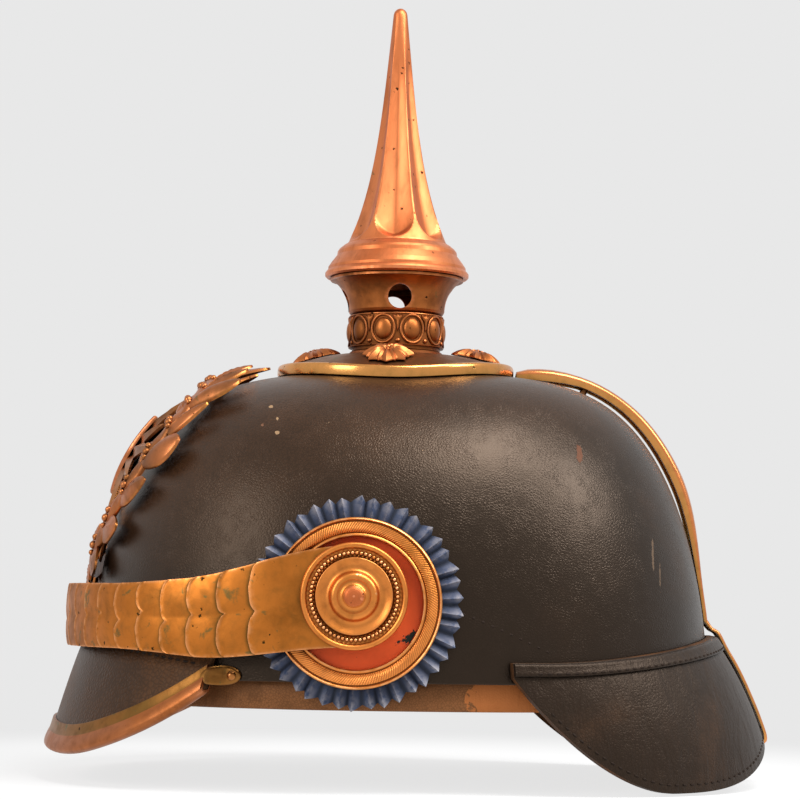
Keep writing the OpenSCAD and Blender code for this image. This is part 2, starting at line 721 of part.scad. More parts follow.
// Spike: a fluted shaft on a moulded foot that slips over the neck's spigot
foot_z = flange_z + seat;
shaft_z = foot_z + foot_h;
module spike_foot() {
    bore_top = flange_z + spigot_h + 0.8;
    wide = foot_r - shaft_foot_r;
    function spot(r_share, h_share) = [shaft_foot_r + wide * r_share, foot_z + foot_h * h_share];
    color(copper)
        rotate_extrude($fn = 96)
            polygon([
                [flange_r - 1, foot_z], [foot_r - 0.6, foot_z - 0.1], [foot_r, foot_z + 0.5],
                [foot_r, foot_z + 1.5], [foot_r - 0.5, foot_z + 2.2], spot(0.87, 0.22),
                spot(0.864, 0.3), spot(0.73, 0.435), spot(0.58, 0.565), spot(0.48, 0.65),
                spot(0.455, 0.76), spot(0.38, 0.83), spot(0.18, 0.94), spot(0.05, 0.98),
                [shaft_foot_r + 0.3, shaft_z],
                [shaft_foot_r - 5, shaft_z], [shaft_foot_r - 5, bore_top + 1],
                [shaft_foot_r - 4, bore_top], [spigot_r + running, bore_top],
                [spigot_r + running, foot_z]]);
}

function ridge_r(h) = let (x = h / shaft_h)
    (tip_r + (shaft_foot_r - tip_r) * (0.536 * x + 0.464 * pow(x, 4.05)))
    * (h < tip_r ? sqrt(1 - pow(1 - h / tip_r, 2) * 0.98) : 1);
function flute(h) = let (x = h / shaft_h)
    flute_share * ease(x * 2.4) * (1 - 0.6 * ease((x - 0.93) / 0.07));
module spike_shaft() {
    sides = flute_count * 6;
    wall = 1;
    shares = [0.003, 0.012, 0.027, 0.1, 0.22, 0.36, 0.5, 0.62, 0.74, 0.84, 0.92, 0.97, 1];
    drops = [for (k = shares) k * shaft_h];
    function ring(h, g) = [for (j = [0 : sides - 1])
        let (a = 360 * j / sides, cut = pow((1 - cos(a * flute_count)) / 2, 0.8))
        polar(a + ridge_turn, ridge_r(h) * (1 - flute(h) * cut) - g, shaft_z + shaft_h - h)];
    inner_drops = [for (i = [12, 10, 6]) drops[i]];
    color(copper)
        domed(concat([for (h = drops) ring(h, 0)], [for (h = inner_drops) ring(h, wall * 1.4)]),
            [0, 0, shaft_z + shaft_h], [0, 0, shaft_z + shaft_h - drops[5]]);
}

// Front plate: x runs along the skull to each side, w runs up the profile from plate_z
plate_turn = asin(pow(plate_z / skull_h, front_q / 2));
plate_end_turn = 73;
function front_run(t) = skull_pt(-90, t);
// Length of the front profile for one degree of t, averaged over the plate
plate_steps = [for (t = [plate_turn : plate_end_turn]) norm(front_run(t + 1) - front_run(t))];
plate_per_degree = sum(plate_steps) / len(plate_steps);
function plate_pt(x, w, g) =
    let (t = plate_turn + w / plate_per_degree, r = front_run(t).y)
    skull_pt(-90 + x / abs(r) * 180 / PI, t, g);
function plate_out(x, w) =
    unit(cross(plate_pt(x + 1, w, 0) - plate_pt(x, w, 0), plate_pt(x, w + 1, 0) - plate_pt(x, w, 0)));

// Middle of a wreath branch at angle q from the foot, on side s
function branch(q, s) = [s * wreath_half_w * sin(q), wreath_half_h * (1 - cos(q))];
leaf_first = 24;
leaf_last = 148;

// A leaf from (x, w), heading at angle turn from +x towards +w
module leaf(p, turn, length, width, lift) {
    us = [0, 0.32, 0.74, 1];
    function half(u) = width / 2 * (u == 0 ? 0.3 : u == 1 ? 0.04 : pow(sin(180 * pow(u, 0.8)), 0.7));
    function spot(u, q, g) = let (l = length * u, s = half(u) * q)
        plate_pt(p.x + l * cos(turn) - s * sin(turn), p.y + l * sin(turn) + s * cos(turn),
            plate_off + lift * u + (q == 0 ? 0.9 * sin(180 * u) : 0) + g);
    sheet([for (u = us) [for (q = [-1, 0, 1]) spot(u, q, plate_t)]],
        [for (u = us) [for (q = [-1, 0, 1]) spot(u, q, 0)]]);
}

module wreath_band(s) {
    spans = 10;
    half_w = 2.6;
    qs = [for (i = [0 : spans]) mix(-2, 182, i / spans)];
    function spot(q, e, g) = let (b = branch(q, s) + e * half_w * [s * sin(q), -cos(q)])
        plate_pt(b.x, b.y, plate_off + g);
    sheet([for (q = qs) [for (e = [-1, 0, 1]) spot(q, e, plate_t + (e == 0 ? 0.7 : 0))]],
        [for (q = qs) [for (e = [-1, 0, 1]) spot(q, e, 0)]]);
}

module wreath_plate() {
    fan_count = 4;
    finial_w = 2 * wreath_half_h - 4;
    color(dark_brass)
        union() {
            for (s = [-1, 1]) {
                wreath_band(s);
                for (i = [0 : leaf_count - 1])
                    let (q = mix(leaf_first, leaf_last, i / (leaf_count - 1)),
                        b = branch(q, s), heading = s > 0 ? q : 180 - q, spread = s * 38) {
                        leaf(b, heading - spread, leaf_l, leaf_w, 1);
                        if (i % 2 == 1)
                            leaf(b, heading + spread * 0.8, leaf_l * 0.62, leaf_w * 0.8, 0.4);
                    }
                for (i = [0 : fan_count - 1])
                    leaf([s * 3, 3], s > 0 ? -58 + 30 * i : 238 - 30 * i, leaf_l * (0.75 + 0.1 * i),
                        leaf_w * 0.7, 0.6);
            }
            leaf([0, finial_w], 90, leaf_l * 1.2, leaf_w * 1.2, 1);
        }
}

plate_middle = wreath_half_h;
module plate_star() {
    points = 16;
    function spot(i, r, g) = let (a = 90 + 180 * i / points)
        plate_pt(r * cos(a), plate_middle + r * sin(a), g);
    function tip(i) = i % 2 == 1 ? star_r * 0.46 : i % 4 == 0 ? star_r : star_r * 0.78;
    high = plate_off - 0.45;
    count = 2 * points;
    function ring(share, edge, g) = [for (i = [0 : count - 1])
        spot(i, tip(i) * share, mix(high + 1.2, high, share) + (i % 2 == 1 ? -edge : 0) + g)];
    color(brass)
        domed([ring(0.4, 0.1, 0), ring(0.75, 0.5, 0), ring(1, 0, 0), ring(1, 0, -plate_t),
            ring(0.5, 0.1, -plate_t * 1.8)], spot(0, 0, high + 1.2), spot(0, 0, high + 0.2 - plate_t));
}

module plate_shield() {
    waist = 0.1;
    foot = -1.5;
    function half(h) = h > waist ? 1 : 1 - pow((waist - h) / (waist - foot), 1.9);
    side = [for (h = [1.2, 0.6, waist, -0.35, -0.8, -1.2]) [half(h), h]];
    outline = concat([[0, 1.08]], side, [[0, foot]],
        [for (i = [len(side) - 1 : -1 : 0]) [-side[i].x, side[i].y]]);
    function spot(q, r, g) = plate_pt(r * shield_half_w * q.x, plate_middle + r * shield_half_w * q.y,
        plate_off + 1 + g);
    function ring(r, g) = [for (q = outline) spot(q, r, g)];
    color(copper)
        domed([ring(0.5, 1.5), ring(0.8, 1.1), ring(0.86, 1.4), ring(0.97, 1.4), ring(1, 0.9),
            ring(1, 0.1)], spot([0, 0], 0, 1.7), spot([0, 0], 0, 0.1));
}

plate_post_r = 1.5;
plate_post_x = star_r * 0.4;
module plate_post_places() {
    for (s = [-1, 1])
        aim(plate_pt(s * plate_post_x, plate_middle, 0), plate_out(s * plate_post_x, plate_middle))
            children();
}

module plate_posts() {
    inside = skull_t * 1.2 + nut_h + 1.3;
    color(brass)
        plate_post_places()
            translate([0, 0, -inside])
                cylinder(h = inside + plate_off - 2 * plate_t - 0.8, r = plate_post_r);
}

module plate_nuts() {
    color(dark_brass)
        plate_post_places()
            translate([0, 0, -skull_t * 1.2 - nut_h - 0.7])
                nut(plate_post_r);
}

// Cockades: x is counted out from the seat plane beside the skull
seat_x = skull_half_w + 0.7;
disc_x = seat_x + 1.3;
ring_x = disc_x + 2.1;
root_x = ring_x + 3.4;
rosette_x = root_x + scale_t + 0.4;
ring_t = 1.9;

module post_axis(x0, x1, r) {
    translate([x0, -post_y, post_z])
        rotate([0, 90, 0])
            cylinder(h = x1 - x0, r = r);
}

module at_cockade(x) {
    translate([x, -post_y + cockade_sag * 0.3, post_z - cockade_sag])
        rotate([0, 90, 0])
            children();
}

module cockade() {
    inner_r = cockade_hole_r - 1.5;
    count = 2 * pleat_count;
    deep = 0.95;
    function spot(i, r, w) = [r * cos(180 * i / pleat_count), r * sin(180 * i / pleat_count), w];
    function row(i, w) = let (high = i % 2 == 0 ? deep : -deep)
        [spot(i, inner_r, w), spot(i, cockade_r - (i % 2 == 0 ? 0 : 1.5), w + high)];
    color([0.24, 0.3, 0.45])
        at_cockade(disc_x)
            sheet([for (i = [0 : count - 1]) row(i, 0.45)], [for (i = [0 : count - 1]) row(i, -0.45)],
                closed = true);
}

module cockade_ring() {
    color(brass)
        at_cockade(ring_x)
            rotate_extrude($fn = 96)
                polygon([[cockade_hole_r, -0.5], [cockade_ring_r, -0.5], [cockade_ring_r, ring_t * 0.5],
                    [cockade_ring_r - 0.6, ring_t * 0.85], [cockade_ring_r - 1.4, ring_t * 0.8],
                    [mix(cockade_ring_r, cockade_hole_r, 0.5), ring_t],
                    [cockade_hole_r + 1.4, ring_t * 0.8], [cockade_hole_r + 0.7, ring_t],
                    [cockade_hole_r, ring_t * 0.6]]);
}

module cockade_centre() {
    color([0.8, 0.25, 0.12])
        at_cockade(disc_x + 0.85)
            difference() {
                union() {
                    cylinder(h = 0.6, r = cockade_hole_r + 1);
                    translate([0, 0, -1.2])
                        cylinder(h = 1.5, r = cockade_hole_r - 2);
                }
                translate([0, 0, -2])
                    cylinder(h = 4, r = post_r + running + cockade_sag * 1.05);
            }
}

module rosette() {
    r = rosette_r;
    h = rosette_h;
    color(brass)
        translate([rosette_x, -post_y, post_z])
            rotate([0, 90, 0])
                rotate_extrude($fn = 96)
                    polygon([[post_r + running, 0], [r - 0.9, 0], [r - 0.2, 0.5], [r, 1.1], [r - 0.3, 1.7],
                        [r - 0.9, 1.9], [r - 1.7, 1.6], [r - 2.2, 1.5], [r - 2.6, 1.9], [r - 3.4, 2.1],
                        [r - 4.1, 1.9], [r - 4.5, 1.7], [r - 5, 2.2], [r - 5.6, 1.9], [r * 0.56, 1.3],
                        [r * 0.48, 1.6], [r * 0.44, 2.5], [r * 0.4, 3.2], [r * 0.34, 3.4],
                        [r * 0.28, 3], [r * 0.22, 3.4], [r * 0.19, h * 0.72], [post_r + running, h * 0.72]]);
}

module post() {
    inside = skull_t + nut_h + 2.4;
    color(brass) {
        post_axis(wall_r(-8, post_z) - inside, rosette_x + rosette_h * 0.8, post_r);
        translate([rosette_x + rosette_h * 0.8, -post_y, post_z])
            rotate([0, 90, 0])
                rotate_extrude()
                    polygon(concat([[0, -0.3], [rosette_r * 0.19, -0.3]],
                        [for (t = [0 : 15 : 90])
                            [rosette_r * 0.19 * cos(t), rosette_h * 0.2 + 1.2 * sin(t) - 0.5]]));
    }
}

module post_nuts() {
    washer_r = post_r * 2.3;
    inner_x = wall_pt(-atan((post_y + washer_r) / skull_half_w), post_z + washer_r, -skull_t).x - seat;
    color(dark_brass)
        for (s = [-1, 1])
            translate([s * (inner_x - nut_h), -post_y, post_z])
                rotate([0, s * 90, 0])
                    nut(post_r);
}

// Chin scales: a superellipse loop from the posts round the front; the path is the strap's face
loop_x = root_x;
loop_y = skull_front + loop_gap - post_y;
loop_n = 2.1;
function loop_at(q) = [loop_x * pow(cos(q), 2 / loop_n), -post_y - loop_y * pow(sin(q), 2 / loop_n)];
loop_steps = 90;
loop_spots = [for (i = [0 : loop_steps]) loop_at(90 * i / loop_steps)];
loop_lengths = [for (i = 1, s = 0; i <= loop_steps + 1;
    s = s + (i <= loop_steps ? norm(loop_spots[i] - loop_spots[i - 1]) : 0), i = i + 1) s];
loop_length = loop_lengths[loop_steps];
loop_table = [for (i = [0 : loop_steps]) [loop_lengths[i], 90 * i / loop_steps]];
function loop_q(s) = lookup(s, loop_table);
function loop_dir(s) = let (q = loop_q(s)) unit(loop_at(min(q + 0.5, 90)) - loop_at(max(q - 0.5, 0)));
root_s = 30;
function loop_middle(s) = mix(post_z, loop_front_z, ease(s / 56));
function scale_half(s) = mix(scale_root_h, scale_front_h, ease(s / 92)) / 2;
// Point at distance s along the loop, height share v and distance g out of the strap's face
function loop_pt(s, v, g, half) = let (p = loop_at(loop_q(s)), d = loop_dir(s))
    [p.x - d.y * g, p.y + d.x * g, loop_middle(s) + v * half];
scale_end = loop_length - 9;
scale_pitch = (scale_end - root_s) / scale_count;
scale_rise = 1.25;
scale_bow = 0.5;
scale_vs = [-1, -0.62, -0.3, 0, 0.3, 0.62, 1];
scale_slope = scale_rise / scale_pitch;
// The free edge has two lobes with a cusp between them
function lobe(v) = let (c = (abs(v) - 0.5) / 0.5) sqrt(max(0, 1 - c * c));

module scale_plate(s0, length, first_g) {
    function spot(k, v, g) = let (s = s0 + k * (length + scale_lobe * lobe(v)))
        loop_pt(s, v, first_g + scale_slope * (s - s0) + scale_bow * (1 - v * v) + g, scale_half(s));
    sheet([for (k = [0, 0.5, 1]) [for (v = scale_vs) spot(k, v, scale_t)]],
        [for (k = [0, 0.5, 1]) [for (v = scale_vs) spot(k, v, 0)]]);
}

module scales(count) {
    overlap = 0.8;
    color(brass)
        for (i = [0 : count - 1])
            scale_plate(root_s + i * scale_pitch, scale_pitch + (i == count - 1 ? -2 : overlap), seat);
}

module root_scale() {
    us = [0, 0.22, 0.45, 0.7, 1];
    rear_half = rosette_r - 0.6;
    function rise(k, v) = ease((k - 0.4) / 0.5) * (scale_rise * 1.3 + scale_bow * (1 - v * v));
    function spot(k, v, g) = let (s = 0.1 + k * (root_s + 0.9 + scale_lobe * lobe(v)))
        loop_pt(s, v, seat + rise(k, v) + g, scale_half(s));
    color(brass)
        difference() {
            union() {
                translate([root_x + seat, -post_y, post_z])
                    rotate([0, 90, 0])
                        cylinder(h = scale_t, r = rear_half);
                sheet([for (k = us) [for (v = scale_vs) spot(k, v, scale_t)]],
                    [for (k = us) [for (v = scale_vs) spot(k, v, 0)]]);
            }
            post_axis(root_x - 5, root_x + 5, post_r + running);
        }
}

// Straps of leather behind the scales, buckled together a little to the right of the middle
strap_start = root_s + 6.5;
fold_t = 0.8;
eye_h = 3;
eye_gap = eye_h + 2 * seat;
eye_r = bar_r + 0.75;
buckle_h = strap_h + 3.4;
heel_d = buckle_x + buckle_w / 2;
tip_d = buckle_x - buckle_w / 2;
tongue_l = heel_d + 18;
keeper_d = heel_d + 11;
// The right half carries scales only as far as the tongue of the left strap
right_scale_count = floor((loop_length - tongue_l - scale_lobe - root_s) / scale_pitch);

// Point of the right half at distance d past the middle, g out of the strap's face
function right_pt(d, v, g) = flip_x(loop_pt(loop_length - d, v, g, strap_h / 2));
function tongue_g(d) = (strap_t + 0.4) * ease(d / 16);
heel_g = 0.4 - seat - bar_r - running - fold_t;
heel_bar = right_pt(heel_d, 0, heel_g);
tip_bar = right_pt(tip_d, 0, tongue_g(tip_d) + seat + bar_r);
prong_lift = bar_r + prong_r + 0.2;
prong_tip = let (d = unit(tip_bar - heel_bar)) tip_bar + prong_lift * [d.y, -d.x, 0] + d * 1.4;

module bar(p, q, r) {
    aim(p, q - p)
        cylinder(h = norm(q - p), r = r, $fn = 32);
}

module strap_left() {
    spans = 14;
    ss = [for (i = [0 : spans]) mix(strap_start, loop_length - 2, i / spans)];
    ds = [for (i = [0 : 8]) mix(2, tongue_l, i / 8)];
    function row(s, g) = [for (v = [-1, 1]) loop_pt(s, v, g, strap_h / 2)];
    function tongue_row(d, g) = [for (v = [-1, 1]) right_pt(d, v * 0.94, tongue_g(d) + g)];
    color(brown_leather)
        difference() {
            sheet(concat([for (s = ss) row(s, 0)], [for (d = ds) tongue_row(d, 0)]),
                concat([for (s = ss) row(s, -strap_t)], [for (d = ds) tongue_row(d, -strap_t)]));
            bar(heel_bar, prong_tip, prong_r + 0.3);
        }
}

module strap_right() {
    spans = 14;
    ss = [for (i = [0 : spans]) mix(strap_start, loop_length - heel_d - bar_r - 0.6, i / spans)];
    function row(s, g) = [for (v = [-1, 1]) flip_x(loop_pt(s, v, g, strap_h / 2))];
    fold_h = (strap_h - eye_gap) / 2;
    color(brown_leather)
        difference() {
            union() {
                sheet([for (s = ss) row(s, 0)], [for (s = ss) row(s, -strap_t)]);
                for (z = [-strap_h / 2, eye_gap / 2])
                    translate([heel_bar.x, heel_bar.y, heel_bar.z + z])
                        cylinder(h = fold_h, r = bar_r + running + fold_t);
            }
            translate([heel_bar.x, heel_bar.y, heel_bar.z - strap_h])
                cylinder(h = 2 * strap_h, r = bar_r + running);
            translate([heel_bar.x, heel_bar.y, heel_bar.z - eye_gap / 2])
                cylinder(h = eye_gap, r = eye_r + bolt_gap);
        }
}

// Buckle frame: four round bars with round corners
module buckle_frame() {
    up = [0, 0, buckle_h / 2];
    corners = [tip_bar - up, tip_bar + up, heel_bar + up, heel_bar - up];
    color(brass)
        for (i = [0 : 3]) {
            bar(corners[i], corners[(i + 1) % 4], bar_r);
            translate(corners[i])
                sphere(r = bar_r + 0.15, $fn = 32);
        }
}

module buckle_prong() {
    color(brass)
        difference() {
            union() {
                translate(heel_bar - [0, 0, eye_h / 2])
                    cylinder(h = eye_h, r = eye_r, $fn = 32);
                bar(heel_bar, prong_tip, prong_r);
            }
            translate(heel_bar - [0, 0, eye_h])
                cylinder(h = eye_h * 2, r = bar_r + running, $fn = 32);
        }
}

// Leather loop that holds the tongue down on the right strap
module strap_keeper() {
    keeper_w = 4;
    wall = 0.8;
    way = right_pt(keeper_d + 1, 0, 0) - right_pt(keeper_d - 1, 0, 0);
    inside_y = 2 * strap_t + 0.4 + 2 * seat;
    color(brown_leather)
        translate(right_pt(keeper_d, 0, 0))
            rotate([0, 0, atan2(way.y, way.x)])
                difference() {
                    translate([-keeper_w / 2, -strap_t - seat - wall, -strap_h / 2 - seat - wall])
                        cube([keeper_w, inside_y + 2 * wall, strap_h + 2 * (seat + wall)]);
                    translate([-keeper_w, -strap_t - seat, -strap_h / 2 - seat])
                        cube([2 * keeper_w, inside_y, strap_h + 2 * seat]);
                }
}

// Sweatband: points are [height, distance in from the skull's inside]
band_in = 4.8;
module sweatband() {
    columns = 36;
    line = [[band_h, band_in], [band_h * 0.4, 3.4], [2, 1.4], [-band_drop * 0.6, 1],
        [-band_drop, 1.7]];
    function row(a, g) = [for (q = line) wall_pt(a, q[0], -skull_t - q[1] - g)];
    azimuths = [for (i = [0 : columns - 1]) 360 * i / columns];
    color(brown_leather)
        sheet([for (a = azimuths) row(a, 0)], [for (a = azimuths) row(a, band_t)], closed = true);
}

// Lining: gathered cloth from behind the sweatband to the crown
module lining() {
    count = 3 * gather_count;
    hem_z = band_h - 4;
    hem_gap = band_in + band_t + 0.5;
    rows = 5;
    function ring(k, g) = [for (j = [0 : count - 1])
        let (a = 360 * j / count, fold = (j % 3 == 0 ? 1 : -0.5) * 0.9 * ease(k * 3) * (1 - 0.5 * k),
            gap = mix(hem_gap, lining_gap, k) + fold + g,
            first = asin(pow(hem_z / (skull_h - gap), wall_q(a) / 2)),
            t = mix(first, 86, 1 - pow(1 - k, 1.4)))
        skull_pt(a, t, -skull_t - gap)];
    color([0.55, 0.45, 0.35])
        domed(concat([for (k = [rows : -1 : 0]) ring(k / rows, 0)],
            [for (k = [0 : rows]) ring(k / rows, lining_t)]),
            [0, 0, skull_h - skull_t - lining_gap], [0, 0, skull_h - skull_t - lining_gap - lining_t]);
}

module right() {
    mirror([1, 0, 0])
        children();
}

skull();
front_visor();
visor_trim();
trim_rivets();
neck_guard();
guard_welt();
rear_spine();
spine_posts();
spine_nuts();
base_plate();
star_studs();
stud_nuts();
neck();
pearl_ring();
spike_foot();
spike_shaft();
wreath_plate();
plate_star();
plate_shield();
plate_posts();
plate_nuts();
cockade();  // cockade_left
right() cockade();  // cockade_right
cockade_ring();  // cockade_ring_left
right() cockade_ring();  // cockade_ring_right
cockade_centre();  // cockade_centre_left
right() cockade_centre();  // cockade_centre_right
rosette();  // rosette_left
right() rosette();  // rosette_right
post();  // post_left
right() post();  // post_right
post_nuts();
root_scale();  // root_scale_left
right() root_scale();  // root_scale_right
scales(scale_count);  // scales_left
right() scales(right_scale_count);  // scales_right
strap_left();
strap_right();
buckle_frame();
buckle_prong();
strap_keeper();
sweatband();
lining();
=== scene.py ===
"""Officer's spiked leather helmet: the look of every piece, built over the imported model."""

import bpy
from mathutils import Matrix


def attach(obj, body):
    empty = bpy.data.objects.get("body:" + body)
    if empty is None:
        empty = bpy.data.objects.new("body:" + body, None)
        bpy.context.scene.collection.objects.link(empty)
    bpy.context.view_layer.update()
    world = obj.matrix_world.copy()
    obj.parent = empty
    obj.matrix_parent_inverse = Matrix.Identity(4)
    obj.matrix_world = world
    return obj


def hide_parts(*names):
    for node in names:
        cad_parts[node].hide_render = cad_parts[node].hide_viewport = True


bl_info = {
    "name": "Spiked leather helmet",
    "version": (1, 0, 0),
    "blender": (4, 5, 0),
    "location": "3D View > Sidebar > Helmet",
    "description": "Builds the pieces, finishes and studio of an officer's spiked leather helmet",
    "category": "Object",
}

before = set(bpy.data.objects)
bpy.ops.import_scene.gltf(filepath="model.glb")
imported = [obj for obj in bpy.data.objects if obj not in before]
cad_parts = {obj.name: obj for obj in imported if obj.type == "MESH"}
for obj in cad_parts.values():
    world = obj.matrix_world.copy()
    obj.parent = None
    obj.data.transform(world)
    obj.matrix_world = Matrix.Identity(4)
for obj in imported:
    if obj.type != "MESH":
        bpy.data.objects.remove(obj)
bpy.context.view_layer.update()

import math
from types import SimpleNamespace

import bmesh
import bpy
import numpy as np
from bpy.props import FloatProperty, FloatVectorProperty, IntProperty, PointerProperty
from mathutils import Matrix, Vector

SIDES = ((1, "left"), (-1, "right"))

# Exponents of the skull's plan oval and of its profile at the front, rear and side
OVAL_N = 2.2
FRONT_PQ = (3.65, 2.49)
REAR_PQ = (4.7, 1.72)
SIDE_PQ = (3.2, 2.3)
# Exponent of the chin scales' loop, seen from above
LOOP_N = 2.1

# Clearances in millimetres, between two pieces and under what is sewn or clamped on
SEAT = 0.3
LIFT = 0.15
# Steps in millimetres outwards from the skull's side to a cockade's disc, from there to its
# ring and from there to the root scale
COCKADE_STEPS = (2.0, 2.1, 3.4)
# Millimetres from the skull's inner face to the sweatband's upper edge, and from the start of
# the chin scales' loop to the chain of scales
BAND_INSET = 4.8
ROOT_LENGTH = 30.0
# Wreath: half the stem's width in millimetres, degrees along a branch of its first and last
# leaf, and which leaves are broad
STEM_HALF_WIDTH = 2.6
LEAF_TURNS = (24, 148)
BROAD_LEAVES = (3, 5)
# Azimuth of the collar's first pearl, in degrees
PEARL_TURN = -16
# Half the ground's side, in metres
GROUND_HALF = 1.4

# Old tones of dust and of moss-green stain, and of the marks that bare the leather
DUST = (0.42, 0.27, 0.16)
GREEN = (0.09, 0.1, 0.035)
PALE_MARK = (0.42, 0.26, 0.14)
LONG_MARK = (0.13, 0.085, 0.055)
# Finishes of the cut edge and the back of a lacquered leather
INSIDE_LEATHER = ("Cut leather edge", "Bare leather")


def length(label, description, mm):
    """A property that holds a length, given here in millimetres."""
    return FloatProperty(name=label, description=description, default=mm / 1000, min=0,
                         unit="LENGTH", subtype="DISTANCE", precision=5)


def angle(label, description, degrees):
    """A property that holds an angle, given here in degrees."""
    return FloatProperty(name=label, description=description, default=math.radians(degrees),
                         unit="ROTATION", subtype="ANGLE")


def count(label, description, number):
    return IntProperty(name=label, description=description, default=number, min=1)


def share(label, description, value):
    return FloatProperty(name=label, description=description, default=value, min=0, max=2,
                         subtype="FACTOR")


def colour(label, description, rgb):
    return FloatVectorProperty(name=label, description=description, default=rgb, size=3,
                               min=0, max=1, subtype="COLOR")


class SkullSizes(bpy.types.PropertyGroup):
    """Sizes of the leather skull."""
    front: length("Front", "Spike axis to the front of the rim", 105.4)
    rear: length("Rear", "Spike axis to the back of the rim", 112.2)
    half_width: length("Half width", "Half the width of the rim", 90)
    height: length("Height", "Height of the crown above the rim", 107.4)
    thickness: length("Leather", "Thickness of the skull leather", 2.6)
    crown_hole: length("Crown hole", "Radius of the hole under the neck", 13)


class VisorSizes(bpy.types.PropertyGroup):
    """Sizes of the front visor and its metal trim."""
    half_arc: angle("Half arc", "Half of the arc that the visor spans", 54.2)
    seam_height: length("Seam height", "Height of the seam above the rim at the middle", 15)
    depth: length("Depth", "Drop from the seam to the edge at the middle", 42)
    bow: length("Bow", "Rise of the edge at the front middle", 4.3)
    flare: length("Flare", "How far the edge stands out from the skull wall", 13.6)
    thickness: length("Leather", "Thickness of the visor leather", 2.4)
    lug_length: length("Lug length", "Length of the oval lug at each end of the trim", 11)
    lug_height: length("Lug height", "Height of the oval lug", 6.4)


class GuardSizes(bpy.types.PropertyGroup):
    """Sizes of the neck guard and its welt."""
    half_arc: angle("Half arc", "Half of the arc that the guard spans", 66)
    seam_height: length("Seam height", "Height of the seam above the rim at the rear", 16)
    drop: length("Drop", "Depth of the lowest points below the rim", 35)
    arch: length("Arch", "Rise of the edge at the rear middle", 15)
    slope: share("Slope", "Outward slope at the rear", 0.64)
    side_slope: share("Side slope", "Outward slope at the ends", 0.12)
    thickness: length("Leather", "Thickness of the guard leather", 2.4)
    welt_height: length("Welt height", "Height of the sewn welt over the seam", 4.4)
    welt_thickness: length("Welt thickness", "Thickness of the welt", 1.4)
    stitch: length("Stitch", "Length of one stitch", 2)


class SpineSizes(bpy.types.PropertyGroup):
    """Sizes of the rear spine."""
    width: length("Width", "Width of the spine", 12)
    thickness: length("Sheet", "Thickness of the spine's sheet", 0.9)
    height: length("Height", "Leather to the spine's back near the base plate", 5.8)
    end_height: length("End height", "Height of its back over the neck guard", 2.1)
    lift: length("Lift", "Gap under the spine in its upper half", 1.6)


class CrownSizes(bpy.types.PropertyGroup):
    """Sizes of the base plate and its star studs."""
    base_radius: length("Base radius", "Radius over the polished ring", 42.6)
    ring_height: length("Ring height", "Height of the polished ring", 4.2)
    ring_width: length("Ring width", "Width of the polished ring", 2.6)
    sheet: length("Sheet", "Thickness of the base plate", 1)
    rise: length("Rise", "Height of the plate's top above the crown", 7.3)
    stud_circle: length("Stud circle", "Radius of the circle of star studs", 29)
    stud_radius: length("Stud radius", "Radius of a star stud", 9.2)
    stud_height: length("Stud height", "Height of a star stud", 3.6)
    stud_count: count("Studs", "Number of star studs", 4)
    stud_turn: angle("Stud turn", "Azimuth of the first star stud", 85)
    stud_ribs: count("Ribs", "Ribs on each star stud", 8)


class SpikeSizes(bpy.types.PropertyGroup):
    """Sizes of the neck, its pearl ring and the spike."""
    neck_radius: length("Neck radius", "Outer radius of the neck at its foot", 15.9)
    neck_height: length("Neck height", "Base plate to the flange", 28.2)
    boss_count: count("Pearls", "Number of pearls round the neck", 10)
    pearl_width: length("Pearl width", "Half the width of an oval pearl", 3.4)
    pearl_height: length("Pearl height", "Half the height of an oval pearl", 4.15)
    pearl_rise: length("Pearl rise", "How far a pearl stands out of the collar", 1.65)
    collar_height: length("Collar height", "Height of the pearl ring", 11.6)
    collar_up: length("Collar up", "Base plate to the pearl ring", 2.8)
    foot_height: length("Foot height", "Height of the moulded foot", 12.4)
    shaft_height: length("Shaft height", "Height of the fluted shaft", 87)
    tip_radius: length("Tip radius", "Radius of the shaft's tip", 2.3)
    shaft_foot_radius: length("Shaft foot radius", "Radius at the foot of the ridges", 17.9)
    flute_share: share("Flute depth", "Depth of the flutes as a share of the radius", 0.24)
    flute_count: count("Flutes", "Number of flutes", 6)
    ridge_turn: angle("Ridge turn", "Azimuth of the first ridge", 25)


class CockadeSizes(bpy.types.PropertyGroup):
    """Sizes of the cockades and rosettes."""
    radius: length("Radius", "Radius of the pleated disc", 34.9)
    pleats: count("Pleats", "Number of pleats", 42)
    ring_radius: length("Ring radius", "Outer radius of the metal ring", 27.7)
    hole_radius: length("Ring hole", "Inner radius of the metal ring", 21.3)
    sag: length("Sag", "How far a cockade hangs below its post", 2.2)
    post_forward: length("Post forward", "Post's distance forward of the spike axis", 12)
    post_height: length("Post height", "Post's height above the rim", 28)
    rosette_radius: length("Rosette radius", "Radius of a rosette", 17.3)
    bead_count: count("Beads", "Beads round each rosette", 62)


class ScaleSizes(bpy.types.PropertyGroup):
    """Sizes of the chin scales, their straps and the buckle."""
    loop_gap: length("Loop gap", "Visor's root to the inside of the loop", 7)
    root_height: length("Root height", "Height of the scales at the posts", 32.6)
    front_height: length("Front height", "Height of the scales at the front", 21.6)
    front_middle: length("Front middle", "Height of the loop's middle at the front", 20.6)
    scale_count: count("Scales", "Scales on the left half", 11)
    thickness: length("Sheet", "Thickness of a scale", 0.8)
    lobe: length("Lobe", "How far the lobes reach over the next scale", 3)
    strap_height: length("Strap height", "Height of the leather strap", 14)
    strap_thickness: length("Strap leather", "Thickness of the leather strap", 1.5)
    buckle_x: length("Buckle place", "Buckle's middle past the loop's middle", 12)
    buckle_width: length("Buckle width", "Length of the frame along the strap", 13)
    bar_radius: length("Bar radius", "Radius of the buckle's bars", 0.8)


